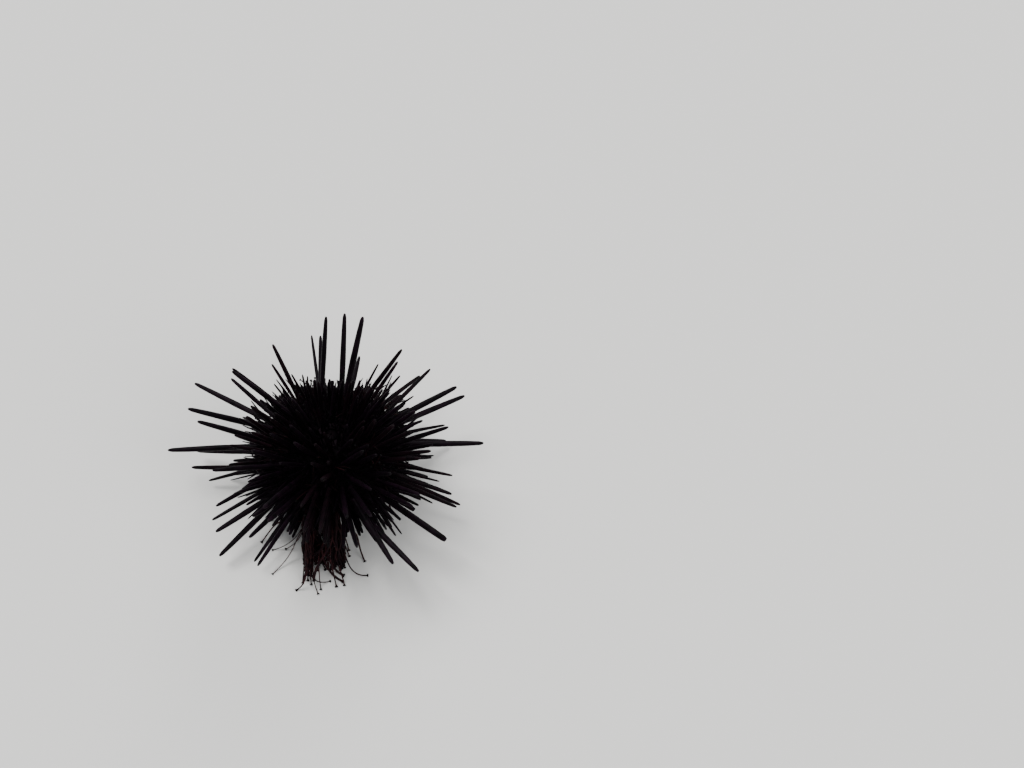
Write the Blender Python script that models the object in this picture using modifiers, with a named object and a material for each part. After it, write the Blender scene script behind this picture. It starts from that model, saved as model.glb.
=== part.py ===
"""Purple sea urchin, life size, at rest on a flat floor.

The test is a flattened globe in ten solid sectors, five broad interambulacra and five
narrow ambulacra, each carrying its own primary spines and, on the ambulacra, the tube
feet that reach the floor. On top lie the genital plates with the madreporite among them,
the ocular plates and the periproct. Below are the peristome and the five teeth.

World frame: metres, +Z up, floor at z = 0. The spread of the spines is centred on the
origin, so the axis of the test stands a little off it. Bearings on the test are degrees
anticlockwise from +X, seen from above. Places on the test are (share, bearing), where
share runs along the outer profile from 0 at the peristome's edge to 1 at the apical ring.
"""
import math

import bmesh
import bpy
import numpy as np
from mathutils import Matrix, Vector

# Test
AXIS_X = 0.0018
AXIS_Y = 0.0006
TEST_RADIUS = 0.021
WIDEST_Z = 0.0150
UPPER_HEIGHT = 0.0125
LOWER_HEIGHT = 0.0093
UPPER_POWER = 2.15
LOWER_POWER = 2.5
PERISTOME_RADIUS = 0.0088
APICAL_RADIUS = 0.0046
CORE_RADIUS = 0.001
PLATE_DEPTH = 0.0016
PROFILE_RINGS = 10
TURN_STEPS = 25
SMALL_TURN_STEPS = 20
TABLE_STEPS = 601
SLOPE_STEP = 0.004

# Sectors
SECTOR_PAIRS = 5
PAIR_ANGLE = 360.0 / SECTOR_PAIRS
FIRST_AMBULACRUM = -97.5
AMBULACRUM_HALF = 14.4
INTERAMBULACRUM_HALF = PAIR_ANGLE / 2.0 - AMBULACRUM_HALF
GAP = 0.0003
WEDGE_REACH = TEST_RADIUS * 2.0
WEDGE_BULGE = 1.2
WEDGE_FLOOR = -0.01
WEDGE_HEIGHT = 0.06
BLOCK_SIZE = (0.2, 0.2, 0.01)

# Apical plates, mouth and teeth
PERIPROCT_RADIUS = 0.0020
OCULAR_HALF = 11.0
GENITAL_HALF = PAIR_ANGLE / 2.0 - OCULAR_HALF
MADREPORITE_NUMBER = 2
DOME_TOP = 0.0004
DOME_SHOULDER = (0.55, 0.0002)
DOME_SINK = 0.0006
MOUTH_RADIUS = 0.0024
MEMBRANE_RISE = 0.0002
MEMBRANE_MIDWAY = (0.6, -0.0003)
MEMBRANE_LIP = (1.4, -0.0008)
MOUTH_SINK = 0.0004
BEAK_HOLLOW = 0.0004
TEETH_TOP_RADIUS = 0.0020
TEETH_TIP_RADIUS = 0.0006
TEETH_DROP = 0.0017

# Pose plane: through the test's middle, square to the view. The outline spines are laid
# out in it by bearing and reach, as they appear from the viewing point, which looks down
# on the middle at VIEW_ELEVATION. The view's own axis passes to the right of the middle
# and above it, by VIEW_OFFSET times the depth, so the plane is turned a little with it.
MIDDLE_Z = 0.0165
VIEW_ELEVATION = 60.0
VIEW_DISTANCE = 0.410
VIEW_OFFSET = (0.1430, 0.0537)
INNER_REACH = 0.024

# Outline spines: bearing at the inner reach, bearing of the tip (degrees in the pose
# plane, anticlockwise from +X), reach of the tip (millimetres from the middle) and
# stoutness, which scales the thickness that goes with the length.
OUTLINE_SPINES = (
    (4.8, 3.3, 49.0, 1.0), (7.8, 5.5, 37.0, 0.9), (8.3, 12.0, 38.5, 0.8),
    (14.8, 13.3, 37.5, 0.7), (23.4, 22.8, 46.5, 1.05), (27.2, 27.4, 45.4, 1.05),
    (34.5, 34.1, 32.0, 0.45), (35.9, 39.9, 41.5, 0.85), (43.4, 40.6, 37.5, 0.85),
    (48.0, 47.9, 33.0, 0.6), (52.6, 53.6, 36.0, 0.85), (56.8, 55.4, 40.0, 0.85),
    (61.8, 61.8, 32.0, 0.55), (72.5, 73.5, 32.0, 0.9), (78.2, 76.8, 44.6, 1.0),
    (82.7, 84.4, 44.7, 0.9), (95.0, 92.1, 43.5, 0.9), (98.0, 95.2, 37.5, 0.85),
    (101.0, 99.5, 38.0, 0.6), (108.0, 107.2, 25.5, 0.45), (111.0, 110.3, 26.5, 0.45),
    (116.5, 117.0, 28.0, 0.5), (120.5, 118.5, 39.3, 0.8), (124.0, 124.0, 34.0, 0.75),
    (130.2, 130.0, 28.5, 0.45), (137.5, 139.8, 41.5, 0.85), (138.5, 140.8, 41.0, 0.85),
    (146.5, 143.7, 39.8, 0.85), (153.9, 153.3, 49.0, 1.0), (159.3, 158.5, 30.5, 0.6),
    (159.8, 163.2, 48.0, 1.0), (168.8, 167.1, 44.0, 0.95), (176.6, 179.4, 52.4, 1.0),
    (179.9, 179.6, 43.0, 0.9), (191.5, 186.3, 45.0, 0.85), (192.5, 188.8, 38.5, 0.8),
    (191.0, 193.2, 40.3, 0.65), (203.5, 205.2, 40.8, 0.85), (209.0, 209.8, 44.0, 0.8),
    (215.3, 214.7, 45.0, 1.05), (220.5, 223.0, 49.0, 1.05), (227.5, 226.3, 38.0, 0.9),
    (235.0, 235.0, 43.0, 0.75), (238.2, 237.2, 43.5, 0.75), (296.0, 299.0, 41.1, 1.0),
    (300.0, 306.2, 47.6, 1.05), (309.0, 307.6, 34.0, 0.6), (312.0, 310.7, 34.8, 0.45),
    (319.8, 322.5, 46.5, 1.25), (333.5, 333.2, 36.5, 0.55), (337.8, 336.3, 44.0, 0.8),
    (338.5, 337.7, 44.8, 0.8), (339.6, 340.7, 41.0, 0.8), (342.5, 344.8, 36.0, 0.5),
    (348.5, 349.0, 39.7, 0.6), (354.5, 356.6, 32.4, 0.45), (356.0, 358.0, 33.0, 0.5),
)

# Spines
INTER_ROWS = 11
AMB_ROWS = 10
INNER_COLUMN = 0.42
OUTER_COLUMN = 0.80
OUTER_COLUMN_SHARES = (0.20, 0.80)
ROOT_SPACING = 0.0023
SPINE_BASE_RADIUS = 0.00057
SPINE_SWELL = 0.00043
SPINE_FULL_LENGTH = 0.030
SPINE_TIP_SHARE = 0.75
SPINE_TIP_MIN = 0.00026
FILLING_STOUTNESS = 0.82
SPINE_CLEARANCE = 0.00035
SPINE_LONGEST = 0.0335
SPINE_STEEPEST_LEAN = 50.0
SHEET_COST = 0.0005
LEAN_COST = 15.0
LENGTH_COST = 0.004
OUTLINE_SHORTEST = 0.014
OUTLINE_GROWTH = 0.45
OUTLINE_FROM = 0.020
DEPTH_TRIES = np.arange(-0.040, 0.0401, 0.004)
ROOT_DEPTH = 0.0008
LONG_FROM = 0.012
LONG_SIDES = 5
SHORT_SIDES = 4
SUPPORT_SHARE = 0.14
SUPPORT_SPLAY = 0.45
LIFT_OFF_FLOOR = 0.0012
TIP_LIFT = 0.0018
RULE_SEED = 41
MOUTH_LENGTH = 0.0070
LENGTH_GAIN = 0.0220
APEX_SHARE = 0.86
LENGTH_POWER = 0.75
AIM_TRIES = 24
SHORTEST_STRETCH = 0.86
LONGEST_STRETCH = 1.08
LEAN_OUTWARD = 0.45
LEAN_UPWARD = 0.45
FIRST_SPREAD = 0.10
MORE_SPREAD = 0.012
SUPPORT_SPREAD = 0.5
TRY_SHORTER = 0.97
SHORTEN_BY = 0.93
SHORTEST_SPINE = 0.004
CORE_REACH = 0.0302
CORE_DROOP = 0.0041
CORE_SPREAD = 0.0031

# Clearings in the spines inside the outline: middle bearing, half width (degrees in the
# pose plane) and reach (millimetres) that the spines there keep within.
CLEARINGS = (
    (16.3, 1.8, 26.0), (172.5, 2.4, 27.0), (182.8, 2.3, 25.5), (199.5, 4.0, 28.5),
    (241.5, 3.6, 29.0), (281.0, 3.5, 28.5), (290.5, 3.0, 28.0), (315.5, 2.4, 31.0),
    (351.5, 2.0, 27.5),
)

# Tube feet of the front ambulacrum: bearing and reach (millimetres) of the sucker as it
# appears from the viewing point, with the sucker on the floor.
FRONT_FEET = (
    (232.0, 36.5), (286.8, 36.8), (284.8, 41.2), (244.5, 44.0), (279.6, 35.0),
    (255.3, 46.0), (257.6, 43.3), (259.6, 41.6), (261.6, 43.2), (263.6, 45.6),
    (265.8, 44.2), (268.6, 41.4), (271.5, 43.2), (273.7, 41.6), (275.6, 43.4),
)
FEET_PER_SIDE_AMBULACRUM = 4
SIDE_FEET_SPAN = 1.2
SIDE_FEET_REACH = 0.0205
SIDE_FEET_STAGGER = 0.0018
FOOT_RADIUS = 0.00030
FOOT_POINTS = 5
SUCKER_RADIUS = 0.00065
SUCKER_HEIGHT = 0.0007
SUCKER_SIDES = 6
SUCKER_NECK = 1.25
BELOW_FLOOR = 0.0005
PORE_COLUMN = 0.74
PORE_SHARES = np.arange(0.14, 0.50, 0.02)
PORE_STRIDE = 4
FOOT_SHIFTS = (0.0, 0.0008, -0.0008, 0.0016, -0.0016, 0.0024, -0.0024)
FOOT_CLEARANCE = 0.0003
FOOT_LIFT = 0.0006
FOOT_BEND = 0.38
FOOT_ARRIVE = 0.34


# ---------------------------------------------------------------- test surface

def profile_angles():
    """Angles on the superellipse at the peristome's edge and at the apical ring."""
    low = -math.acos((PERISTOME_RADIUS / TEST_RADIUS) ** (LOWER_POWER / 2.0))
    high = math.acos((APICAL_RADIUS / TEST_RADIUS) ** (UPPER_POWER / 2.0))
    return low, high


def superellipse(angle):
    """Radius and height of the test's outer profile at an angle from its widest ring."""
    power = UPPER_POWER if angle > 0.0 else LOWER_POWER
    height = UPPER_HEIGHT if angle > 0.0 else LOWER_HEIGHT
    radius = TEST_RADIUS * math.cos(angle) ** (2.0 / power)
    rise = height * abs(math.sin(angle)) ** (2.0 / power)
    return radius, WIDEST_Z + math.copysign(rise, angle)


def profile_table():
    """Profile points with the share of the way along it at each, for even spacing."""
    low, high = profile_angles()
    points = np.array([superellipse(a) for a in np.linspace(low, high, TABLE_STEPS)])
    steps = np.hypot(*np.diff(points, axis=0).T)
    travelled = np.concatenate(([0.0], np.cumsum(steps)))
    return travelled / travelled[-1], points


SHARES, PROFILE = profile_table()


def profile_at(share):
    """Radius and height at a share of the way along the profile."""
    return np.interp(share, SHARES, PROFILE[:, 0]), np.interp(share, SHARES, PROFILE[:, 1])


def surface_point(share, bearing):
    """World point on the test."""
    radius, height = profile_at(share)
    turn = math.radians(bearing)
    return np.array((AXIS_X + radius * math.cos(turn), AXIS_Y + radius * math.sin(turn), height))


def surface_normal(share, bearing):
    """Outward unit normal of the test, square to the profile's own slope."""
    r0, z0 = profile_at(share - SLOPE_STEP)
    r1, z1 = profile_at(share + SLOPE_STEP)
    out, up = np.array((z1 - z0, r0 - r1)) / math.hypot(z1 - z0, r0 - r1)
    turn = math.radians(bearing)
    return np.array((out * math.cos(turn), out * math.sin(turn), up))


def unit(vector):
    """The vector at length one."""
    return vector / np.linalg.norm(vector)


# ---------------------------------------------------------------- spine layout

def sectors():
    """Name, middle bearing and half width of the ten sectors, the front one first."""
    for k in range(SECTOR_PAIRS):
        middle = FIRST_AMBULACRUM + k * PAIR_ANGLE
        yield f"ambulacrum_{k + 1}", middle, AMBULACRUM_HALF
        yield f"interambulacrum_{k + 1}", middle + PAIR_ANGLE / 2.0, INTERAMBULACRUM_HALF


def tubercles():
    """Roots of the primary spines, as (sector, share, bearing, point, normal).

    Each sector has two zigzag columns. The interambulacra have two more at their
    borders, round the widest part. A root too close to an earlier one is left out.
    """
    roots = []
    for name, middle, half in sectors():
        broad = name.startswith("inter")
        rows = INTER_ROWS if broad else AMB_ROWS
        columns = [(INNER_COLUMN, 0.0, 1.0)]
        if broad:
            columns.append((OUTER_COLUMN, *OUTER_COLUMN_SHARES))
        for column, first, last in columns:
            for row in range(rows):
                for side in (-1, 1):
                    share = (row + 0.5 + 0.25 * side) / rows
                    if not first <= share <= last:
                        continue
                    bearing = middle + side * column * half
                    point = surface_point(share, bearing)
                    if any(np.linalg.norm(point - r[3]) < ROOT_SPACING for r in roots):
                        continue
                    roots.append((name, share, bearing, point, surface_normal(share, bearing)))
    return roots


def spine_radii(length, stoutness):
    """Radius at the root and at the tip of a spine."""
    base = stoutness * (SPINE_BASE_RADIUS + SPINE_SWELL * min(length / SPINE_FULL_LENGTH, 1.0))
    return base, max(base * SPINE_TIP_SHARE, SPINE_TIP_MIN)


def clearance(start, end, radii, others):
    """Smallest gap between one tapering rod and a list of others."""
    if not others:
        return 1.0
    starts = np.array([o[0] for o in others])
    ends = np.array([o[1] for o in others])
    widths = np.array([o[2] for o in others])
    run = end - start
    runs = ends - starts
    back = start - starts
    a = run @ run
    e = np.einsum("ij,ij->i", runs, runs)
    b = runs @ run
    c = back @ run
    f = np.einsum("ij,ij->i", runs, back)
    s = np.clip((b * f - c * e) / np.maximum(a * e - b * b, 1e-18), 0.0, 1.0)
    t = np.clip((b * s + f) / e, 0.0, 1.0)
    s = np.clip((b * t - c) / a, 0.0, 1.0)
    apart = back + s[:, None] * run - t[:, None] * runs
    own = radii[0] + (radii[1] - radii[0]) * s
    their = widths[:, 0] + (widths[:, 1] - widths[:, 0]) * t
    return float((np.linalg.norm(apart, axis=1) - own - their).min())


def view_axes():
    """Across, upward and outward unit directions of the pose plane.

    Directions square to the line of sight, turned by the least angle that brings the
    outward one from the line of sight to the view's own axis.
    """
    tilt = math.radians(VIEW_ELEVATION)
    square = Matrix(((1.0, 0.0, 0.0), (0.0, math.sin(tilt), -math.cos(tilt)),
                     (0.0, math.cos(tilt), math.sin(tilt))))
    sight = Vector((-VIEW_OFFSET[0], -VIEW_OFFSET[1], -1.0))
    turn = sight.rotation_difference(Vector((0.0, 0.0, -1.0))).to_matrix()
    return [np.array(axis) for axis in (square @ turn).transposed()]


ACROSS, UPWARD, OUTWARD = view_axes()
MIDDLE = np.array((AXIS_X, AXIS_Y, MIDDLE_Z))
VIEW_POINT = MIDDLE + VIEW_DISTANCE * np.array((0.0, -math.cos(math.radians(VIEW_ELEVATION)),
                                                math.sin(math.radians(VIEW_ELEVATION))))
VIEW_DEPTH = (VIEW_POINT - MIDDLE) @ OUTWARD


def plane_point(bearing, reach):
    """Point of the pose plane at a bearing and reach from the test's middle."""
    turn = math.radians(bearing)
    return MIDDLE + reach * (math.cos(turn) * ACROSS + math.sin(turn) * UPWARD)


def plane_reach(point):
    """Bearing in degrees and reach of a point as it appears in the pose plane."""
    sight = point - VIEW_POINT
    flat = VIEW_POINT + sight * (VIEW_DEPTH / -(sight @ OUTWARD)) - MIDDLE
    x, y = flat @ ACROSS, flat @ UPWARD
    return math.degrees(math.atan2(y, x)), math.hypot(x, y)


def outline_spines(roots):
    """Spines of the outline, longest reach first.

    A tip may lie at any depth along its line of sight. Every free root is tried with
    every depth, and the pair is taken that best keeps the spine in its plane of sight,
    square to the test and near its usual length, and that clears the spines so far.
    """
    points = np.array([r[3] for r in roots])
    normals = np.array([r[4] for r in roots])
    free = np.ones(len(roots), bool)
    spines = []
    for inner, outer, reach, stoutness in sorted(OUTLINE_SPINES, key=lambda row: -row[2]):
        far = plane_point(outer, reach / 1000.0)
        near = plane_point(inner, INNER_REACH)
        sheet = unit(np.cross(far - VIEW_POINT, near - VIEW_POINT))
        off_sheet = np.abs((points - VIEW_POINT) @ sheet)
        usual = OUTLINE_SHORTEST + OUTLINE_GROWTH * (reach / 1000.0 - OUTLINE_FROM)
        choices = []
        for depth in DEPTH_TRIES:
            tip = far + (VIEW_POINT - far) * (depth / VIEW_DISTANCE)
            if tip[2] < TIP_LIFT:
                continue
            run = tip - points
            length = np.linalg.norm(run, axis=1)
            lean = np.degrees(np.arccos(np.clip(
                np.einsum("ij,ij->i", run, normals) / length, -1.0, 1.0)))
            cost = ((off_sheet / SHEET_COST) ** 2 + (lean / LEAN_COST) ** 2
                    + ((length - usual) / LENGTH_COST) ** 2)
            likely = free & (lean < SPINE_STEEPEST_LEAN) & (length < SPINE_LONGEST)
            choices += [(cost[i], i, tip) for i in np.flatnonzero(likely)]
        for _, i, tip in sorted(choices, key=lambda choice: choice[:2]):
            radii = spine_radii(np.linalg.norm(tip - points[i]), stoutness)
            if clearance(points[i], tip, radii, [s[1:] for s in spines]) > SPINE_CLEARANCE:
                spines.append((i, points[i], tip, radii))
                free[i] = False
                break
    return spines


def usual_length(share):
    """Length of a spine by its place: short at the mouth, long round the widest part."""
    swell = math.sin(math.pi * share * APEX_SHARE) ** LENGTH_POWER
    return MOUTH_LENGTH + LENGTH_GAIN * swell


def widest_reach(bearing):
    """Reach in the pose plane that the spines inside the outline keep within."""
    turn = math.radians(bearing)
    widest = CORE_REACH - CORE_DROOP * math.sin(turn) + CORE_SPREAD * math.cos(2.0 * turn)
    for middle, half, reach in CLEARINGS:
        if abs((bearing - middle + 180.0) % 360.0 - 180.0) < half:
            widest = min(widest, reach / 1000.0)
    return widest


def filling_spines(roots, spines):
    """Spines on the roots that the outline left free, in their order on the test.

    Those round the mouth stand on the floor. The rest stand off the test with a little
    seeded scatter, and are shortened where they would pass the outline or the floor.
    """
    rng = np.random.default_rng(RULE_SEED)
    taken = {s[0] for s in spines}
    placed = list(spines)
    for i, (_, share, bearing, point, normal) in enumerate(roots):
        scatter = rng.normal(size=(AIM_TRIES, 3))
        stretch = rng.uniform(SHORTEST_STRETCH, LONGEST_STRETCH)
        if i in taken:
            continue
        outward = unit(point - MIDDLE)
        for attempt in range(AIM_TRIES):
            spread = FIRST_SPREAD + MORE_SPREAD * attempt
            if share < SUPPORT_SHARE:
                turn = math.radians(bearing)
                splay = SUPPORT_SPLAY * np.array((math.cos(turn), math.sin(turn), 0.0))
                jitter = SUPPORT_SPREAD * spread * scatter[attempt]
                aim = unit(splay + np.array((0.0, 0.0, -1.0)) + jitter)
                length = point[2] / -aim[2]
            else:
                aim = unit(normal + LEAN_OUTWARD * outward + spread * scatter[attempt])
                length = usual_length(share) * stretch * TRY_SHORTER ** attempt
                if point[2] + aim[2] * length < LIFT_OFF_FLOOR:
                    aim = unit(aim + np.array((0.0, 0.0, LEAN_UPWARD)))
                while length > SHORTEST_SPINE:
                    tip = point + aim * length
                    side, reach = plane_reach(tip)
                    if reach < widest_reach(side) * (1.0 + stretch) / 2.0 and tip[2] > LIFT_OFF_FLOOR:
                        break
                    length *= SHORTEN_BY
            tip = point + aim * length
            radii = spine_radii(length, FILLING_STOUTNESS)
            if clearance(point, tip, radii, [s[1:] for s in placed]) > SPINE_CLEARANCE:
                placed.append((i, point, tip, radii))
                break
    return placed


# ---------------------------------------------------------------- tube feet layout

def floor_point(bearing, reach):
    """Floor point that appears at a bearing and reach in the pose plane."""
    seen = plane_point(bearing, reach)
    sight = seen - VIEW_POINT
    return VIEW_POINT + sight * (VIEW_POINT[2] / -sight[2])


def foot_path(root, normal, end):
    """Points of a tube foot that leaves the test square and comes down on the floor."""
    reach = np.linalg.norm(end - root)
    bend = root + normal * (FOOT_BEND * reach)
    arrive = end + np.array((0.0, 0.0, FOOT_ARRIVE * reach))
    steps = np.linspace(0.0, 1.0, FOOT_POINTS)[:, None]
    keep = 1.0 - steps
    return (keep ** 3 * root + 3 * keep ** 2 * steps * bend
            + 3 * keep * steps ** 2 * arrive + steps ** 3 * end)


def feet_targets():
    """Wanted sucker places, as (sector, floor point), the front ambulacrum first."""
    targets = [("ambulacrum_1", floor_point(side, reach / 1000.0)) for side, reach in FRONT_FEET]
    for name, middle, half in sectors():
        if name.startswith("inter") or name == "ambulacrum_1":
            continue
        for n in range(FEET_PER_SIDE_AMBULACRUM):
            across = 2.0 * n / (FEET_PER_SIDE_AMBULACRUM - 1) - 1.0
            turn = math.radians(middle + half * SIDE_FEET_SPAN * across)
            away = SIDE_FEET_REACH + SIDE_FEET_STAGGER * ((n * 2 + 1) % 3)
            targets.append((name, np.array((AXIS_X + away * math.cos(turn),
                                            AXIS_Y + away * math.sin(turn), 0.0))))
    return targets


def tube_feet(spines):
    """Paths of the long tube feet, as (sector, points).

    Each is tried from pores up and down both columns of its ambulacrum, the nearer column
    first, until it clears the spines and the feet so far. Each starts its tries a few
    pores further up than the last.
    """
    middles = {name: (middle, half) for name, middle, half in sectors()}
    rods = [s[1:] for s in spines]
    thin = (FOOT_RADIUS, FOOT_RADIUS)
    feet = []
    for number, (name, end) in enumerate(feet_targets()):
        middle, half = middles[name]
        shares = np.roll(PORE_SHARES, -PORE_STRIDE * number)
        side = math.degrees(math.atan2(end[1] - AXIS_Y, end[0] - AXIS_X))
        nearer = 1 if (side - middle + 180.0) % 360.0 - 180.0 > 0.0 else -1
        tries = []
        for column in (nearer, -nearer):
            tries += [(column, share, shift) for share in shares for shift in FOOT_SHIFTS]
        for column, share, shift in tries:
            bearing = middle + column * half * PORE_COLUMN
            across = np.array((-math.sin(math.radians(side)), math.cos(math.radians(side)), 0.0))
            goal = end + shift * across
            path = foot_path(surface_point(share, bearing), surface_normal(share, bearing), goal)
            pieces = list(zip(path[:-1], path[1:]))
            gap = min(clearance(p, q, thin, rods) for p, q in pieces)
            foot = (path[-1], path[-1] + np.array((0.0, 0.0, SUCKER_HEIGHT)),
                    (SUCKER_RADIUS, SUCKER_RADIUS))
            gap = min(gap, clearance(*foot, rods))
            if gap > FOOT_CLEARANCE and path[1:-1, 2].min() > FOOT_LIFT:
                feet.append((name, path))
                rods += [(p, q, thin) for p, q in pieces] + [foot]
                break
    return feet


# ---------------------------------------------------------------- modelling tools

def clear_scene():
    """Empty the scene."""
    for item in list(bpy.data.objects):
        bpy.data.objects.remove(item, do_unlink=True)


def new_collection(name):
    """Collection linked to the scene."""
    made = bpy.data.collections.new(name)
    bpy.context.scene.collection.children.link(made)
    return made


def material(name, colour, roughness):
    """Principled material, without metal."""
    made = bpy.data.materials.new(name)
    made.use_nodes = True
    made.diffuse_color = (*colour, 1.0)
    shader = made.node_tree.nodes["Principled BSDF"]
    shader.inputs["Base Color"].default_value = (*colour, 1.0)
    shader.inputs["Roughness"].default_value = roughness
    shader.inputs["Metallic"].default_value = 0.0
    return made


def add_object(name, mesh, collection, look=None):
    """Object on a mesh, with its material."""
    made = bpy.data.objects.new(name, mesh)
    collection.objects.link(made)
    if look:
        mesh.materials.append(look)
    return made


def turned(name, outline, collection, look, steps=SMALL_TURN_STEPS):
    """Solid of revolution about the test's axis, from a closed outline of (radius, z).

    The outline runs down its outer side and back up its inner side. The facets start at
    a border of the first sector, so that the other borders fall between facets too.
    """
    mesh = bpy.data.meshes.new(name)
    count = len(outline)
    edges = [(i, (i + 1) % count) for i in range(count)]
    mesh.from_pydata([(r, 0.0, z) for r, z in outline], edges, [])
    made = add_object(name, mesh, collection, look)
    made.location = (AXIS_X, AXIS_Y, 0.0)
    made.rotation_euler = (0.0, 0.0, math.radians(FIRST_AMBULACRUM - AMBULACRUM_HALF))
    turn = made.modifiers.new("turn", "SCREW")
    turn.steps = steps
    turn.render_steps = steps
    turn.use_merge_vertices = True
    turn.merge_threshold = 0.00001
    turn.use_smooth_shade = False
    return made


def hide_cutter(made):
    """Mark a helper object as a cutter."""
    made.hide_render = True
    made.display_type = "WIRE"
    return made


def sector_cutter(name, middle, half, collection):
    """Upright wedge between two planes that pass half a gap inside a sector's borders."""
    mesh = bpy.data.meshes.new(name)
    shape = bmesh.new()
    turn = math.radians(middle)
    spread = math.radians(half)
    apex = GAP / 2.0 / math.sin(spread)
    corners = [(apex, turn, 0.0), (apex, turn - spread, WEDGE_REACH),
               (apex, turn, WEDGE_REACH * WEDGE_BULGE), (apex, turn + spread, WEDGE_REACH)]
    base = [shape.verts.new((AXIS_X + start * math.cos(turn) + distance * math.cos(side),
                             AXIS_Y + start * math.sin(turn) + distance * math.sin(side),
                             WEDGE_FLOOR)) for start, side, distance in corners]
    face = shape.faces.new(base)
    risen = bmesh.ops.extrude_face_region(shape, geom=[face])["geom"]
    bmesh.ops.translate(shape, vec=(0.0, 0.0, WEDGE_HEIGHT),
                        verts=[g for g in risen if isinstance(g, bmesh.types.BMVert)])
    bmesh.ops.recalc_face_normals(shape, faces=shape.faces)
    shape.to_mesh(mesh)
    shape.free()
    return hide_cutter(add_object(name, mesh, collection))


def floor_cutter(collection):
    """Block whose top is the floor."""
    mesh = bpy.data.meshes.new("floor_block")
    shape = bmesh.new()
    bmesh.ops.create_cube(shape, size=1.0)
    bmesh.ops.scale(shape, vec=BLOCK_SIZE, verts=shape.verts)
    bmesh.ops.translate(shape, vec=(0.0, 0.0, -BLOCK_SIZE[2] / 2.0), verts=shape.verts)
    shape.to_mesh(mesh)
    shape.free()
    return hide_cutter(add_object("floor_block", mesh, collection))


def add_cone(shape, start, end, radii, sides):
    """Closed cone frustum from start to end in an open bmesh."""
    start, end = Vector(start), Vector(end)
    run = end - start
    turn = run.to_track_quat("Z", "Y").to_matrix().to_4x4()
    bmesh.ops.create_cone(shape, cap_ends=True, segments=sides, radius1=radii[0], radius2=radii[1],
                          depth=run.length, matrix=Matrix.Translation((start + end) / 2.0) @ turn)


def spine_cone(shape, point, tip, radii, normal):
    """Cone of one spine, sunk into the test until its whole root is inside."""
    aim = unit(tip - point)
    lean = math.acos(min(1.0, float(aim @ normal)))
    sunk = radii[0] * math.tan(lean) + ROOT_DEPTH
    sides = LONG_SIDES if np.linalg.norm(tip - point) > LONG_FROM else SHORT_SIDES
    start = point - aim * sunk
    end = tip
    if tip[2] < LIFT_OFF_FLOOR / 2.0:
        end = tip + aim * BELOW_FLOOR
    add_cone(shape, start, end, radii, sides)


def foot_tube(name, path, collection):
    """Mesh object of one tube foot: a bevelled curve along its path, sunk at its root."""
    curve = bpy.data.curves.new(name, "CURVE")
    curve.dimensions = "3D"
    curve.bevel_depth = FOOT_RADIUS
    curve.bevel_resolution = 0
    curve.use_fill_caps = True
    points = np.vstack((path[0] - unit(path[1] - path[0]) * ROOT_DEPTH, path[1:]))
    spline = curve.splines.new("POLY")
    spline.points.add(len(points) - 1)
    for knot, place in zip(spline.points, points):
        knot.co = (*place, 1.0)
    guide = add_object(name, curve, collection)
    bpy.context.view_layer.update()
    seen = guide.evaluated_get(bpy.context.evaluated_depsgraph_get())
    mesh = bpy.data.meshes.new_from_object(seen)
    bpy.data.objects.remove(guide, do_unlink=True)
    return mesh


def growths(name, roots, spines, feet, collection):
    """One helper mesh with all the spines and tube feet of a sector."""
    shape = bmesh.new()
    for i, point, tip, radii in spines:
        if roots[i][0] == name:
            spine_cone(shape, point, tip, radii, roots[i][4])
    for number, (sector, path) in enumerate(feet):
        if sector != name:
            continue
        tube = foot_tube(f"foot_{number + 1}", path, collection)
        shape.from_mesh(tube)
        bpy.data.meshes.remove(tube)
    bmesh.ops.remove_doubles(shape, verts=shape.verts, dist=0.000001)
    mesh = bpy.data.meshes.new(f"{name}_growths")
    shape.to_mesh(mesh)
    shape.free()
    return hide_cutter(add_object(f"{name}_growths", mesh, collection))


def suckers(name, feet, collection):
    """One helper mesh with the sucker discs at the ends of a sector's tube feet."""
    shape = bmesh.new()
    for sector, path in feet:
        if sector == name:
            low = path[-1] - np.array((0.0, 0.0, BELOW_FLOOR))
            high = path[-1] + np.array((0.0, 0.0, SUCKER_HEIGHT))
            add_cone(shape, low, high, (SUCKER_RADIUS, FOOT_RADIUS * SUCKER_NECK), SUCKER_SIDES)
    mesh = bpy.data.meshes.new(f"{name}_suckers")
    shape.to_mesh(mesh)
    shape.free()
    return hide_cutter(add_object(f"{name}_suckers", mesh, collection))


def combine(target, other, operation):
    """Exact boolean of another object on the target."""
    step = target.modifiers.new(operation.lower(), "BOOLEAN")
    step.operation = operation
    step.solver = "EXACT"
    step.object = other


# ---------------------------------------------------------------- the parts

def sector_outline():
    """Closed outline of the sectors: outer profile, mouth pocket, core and apical pocket."""
    outer = [tuple(map(float, profile_at(s))) for s in np.linspace(1.0, 0.0, PROFILE_RINGS + 1)]
    apical_floor = outer[0][1] - PLATE_DEPTH
    mouth_roof = outer[-1][1] + PLATE_DEPTH
    return outer + [(PERISTOME_RADIUS, mouth_roof), (CORE_RADIUS, mouth_roof),
                    (CORE_RADIUS, apical_floor), (APICAL_RADIUS, apical_floor)]


def make_sectors(parts, cutters, looks):
    """The ten sectors of the test with their spines and tube feet."""
    roots = tubercles()
    spines = filling_spines(roots, outline_spines(roots))
    feet = tube_feet(spines)
    outline = sector_outline()
    floor_block = floor_cutter(cutters)
    for name, middle, half in sectors():
        look = looks["inter" if name.startswith("inter") else "amb"]
        body = turned(name, outline, parts, look, TURN_STEPS)
        combine(body, sector_cutter(f"{name}_wedge", middle, half, cutters), "INTERSECT")
        combine(body, growths(name, roots, spines, feet, cutters), "UNION")
        if any(sector == name for sector, _ in feet):
            combine(body, suckers(name, feet, cutters), "UNION")
        combine(body, floor_block, "DIFFERENCE")


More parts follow.
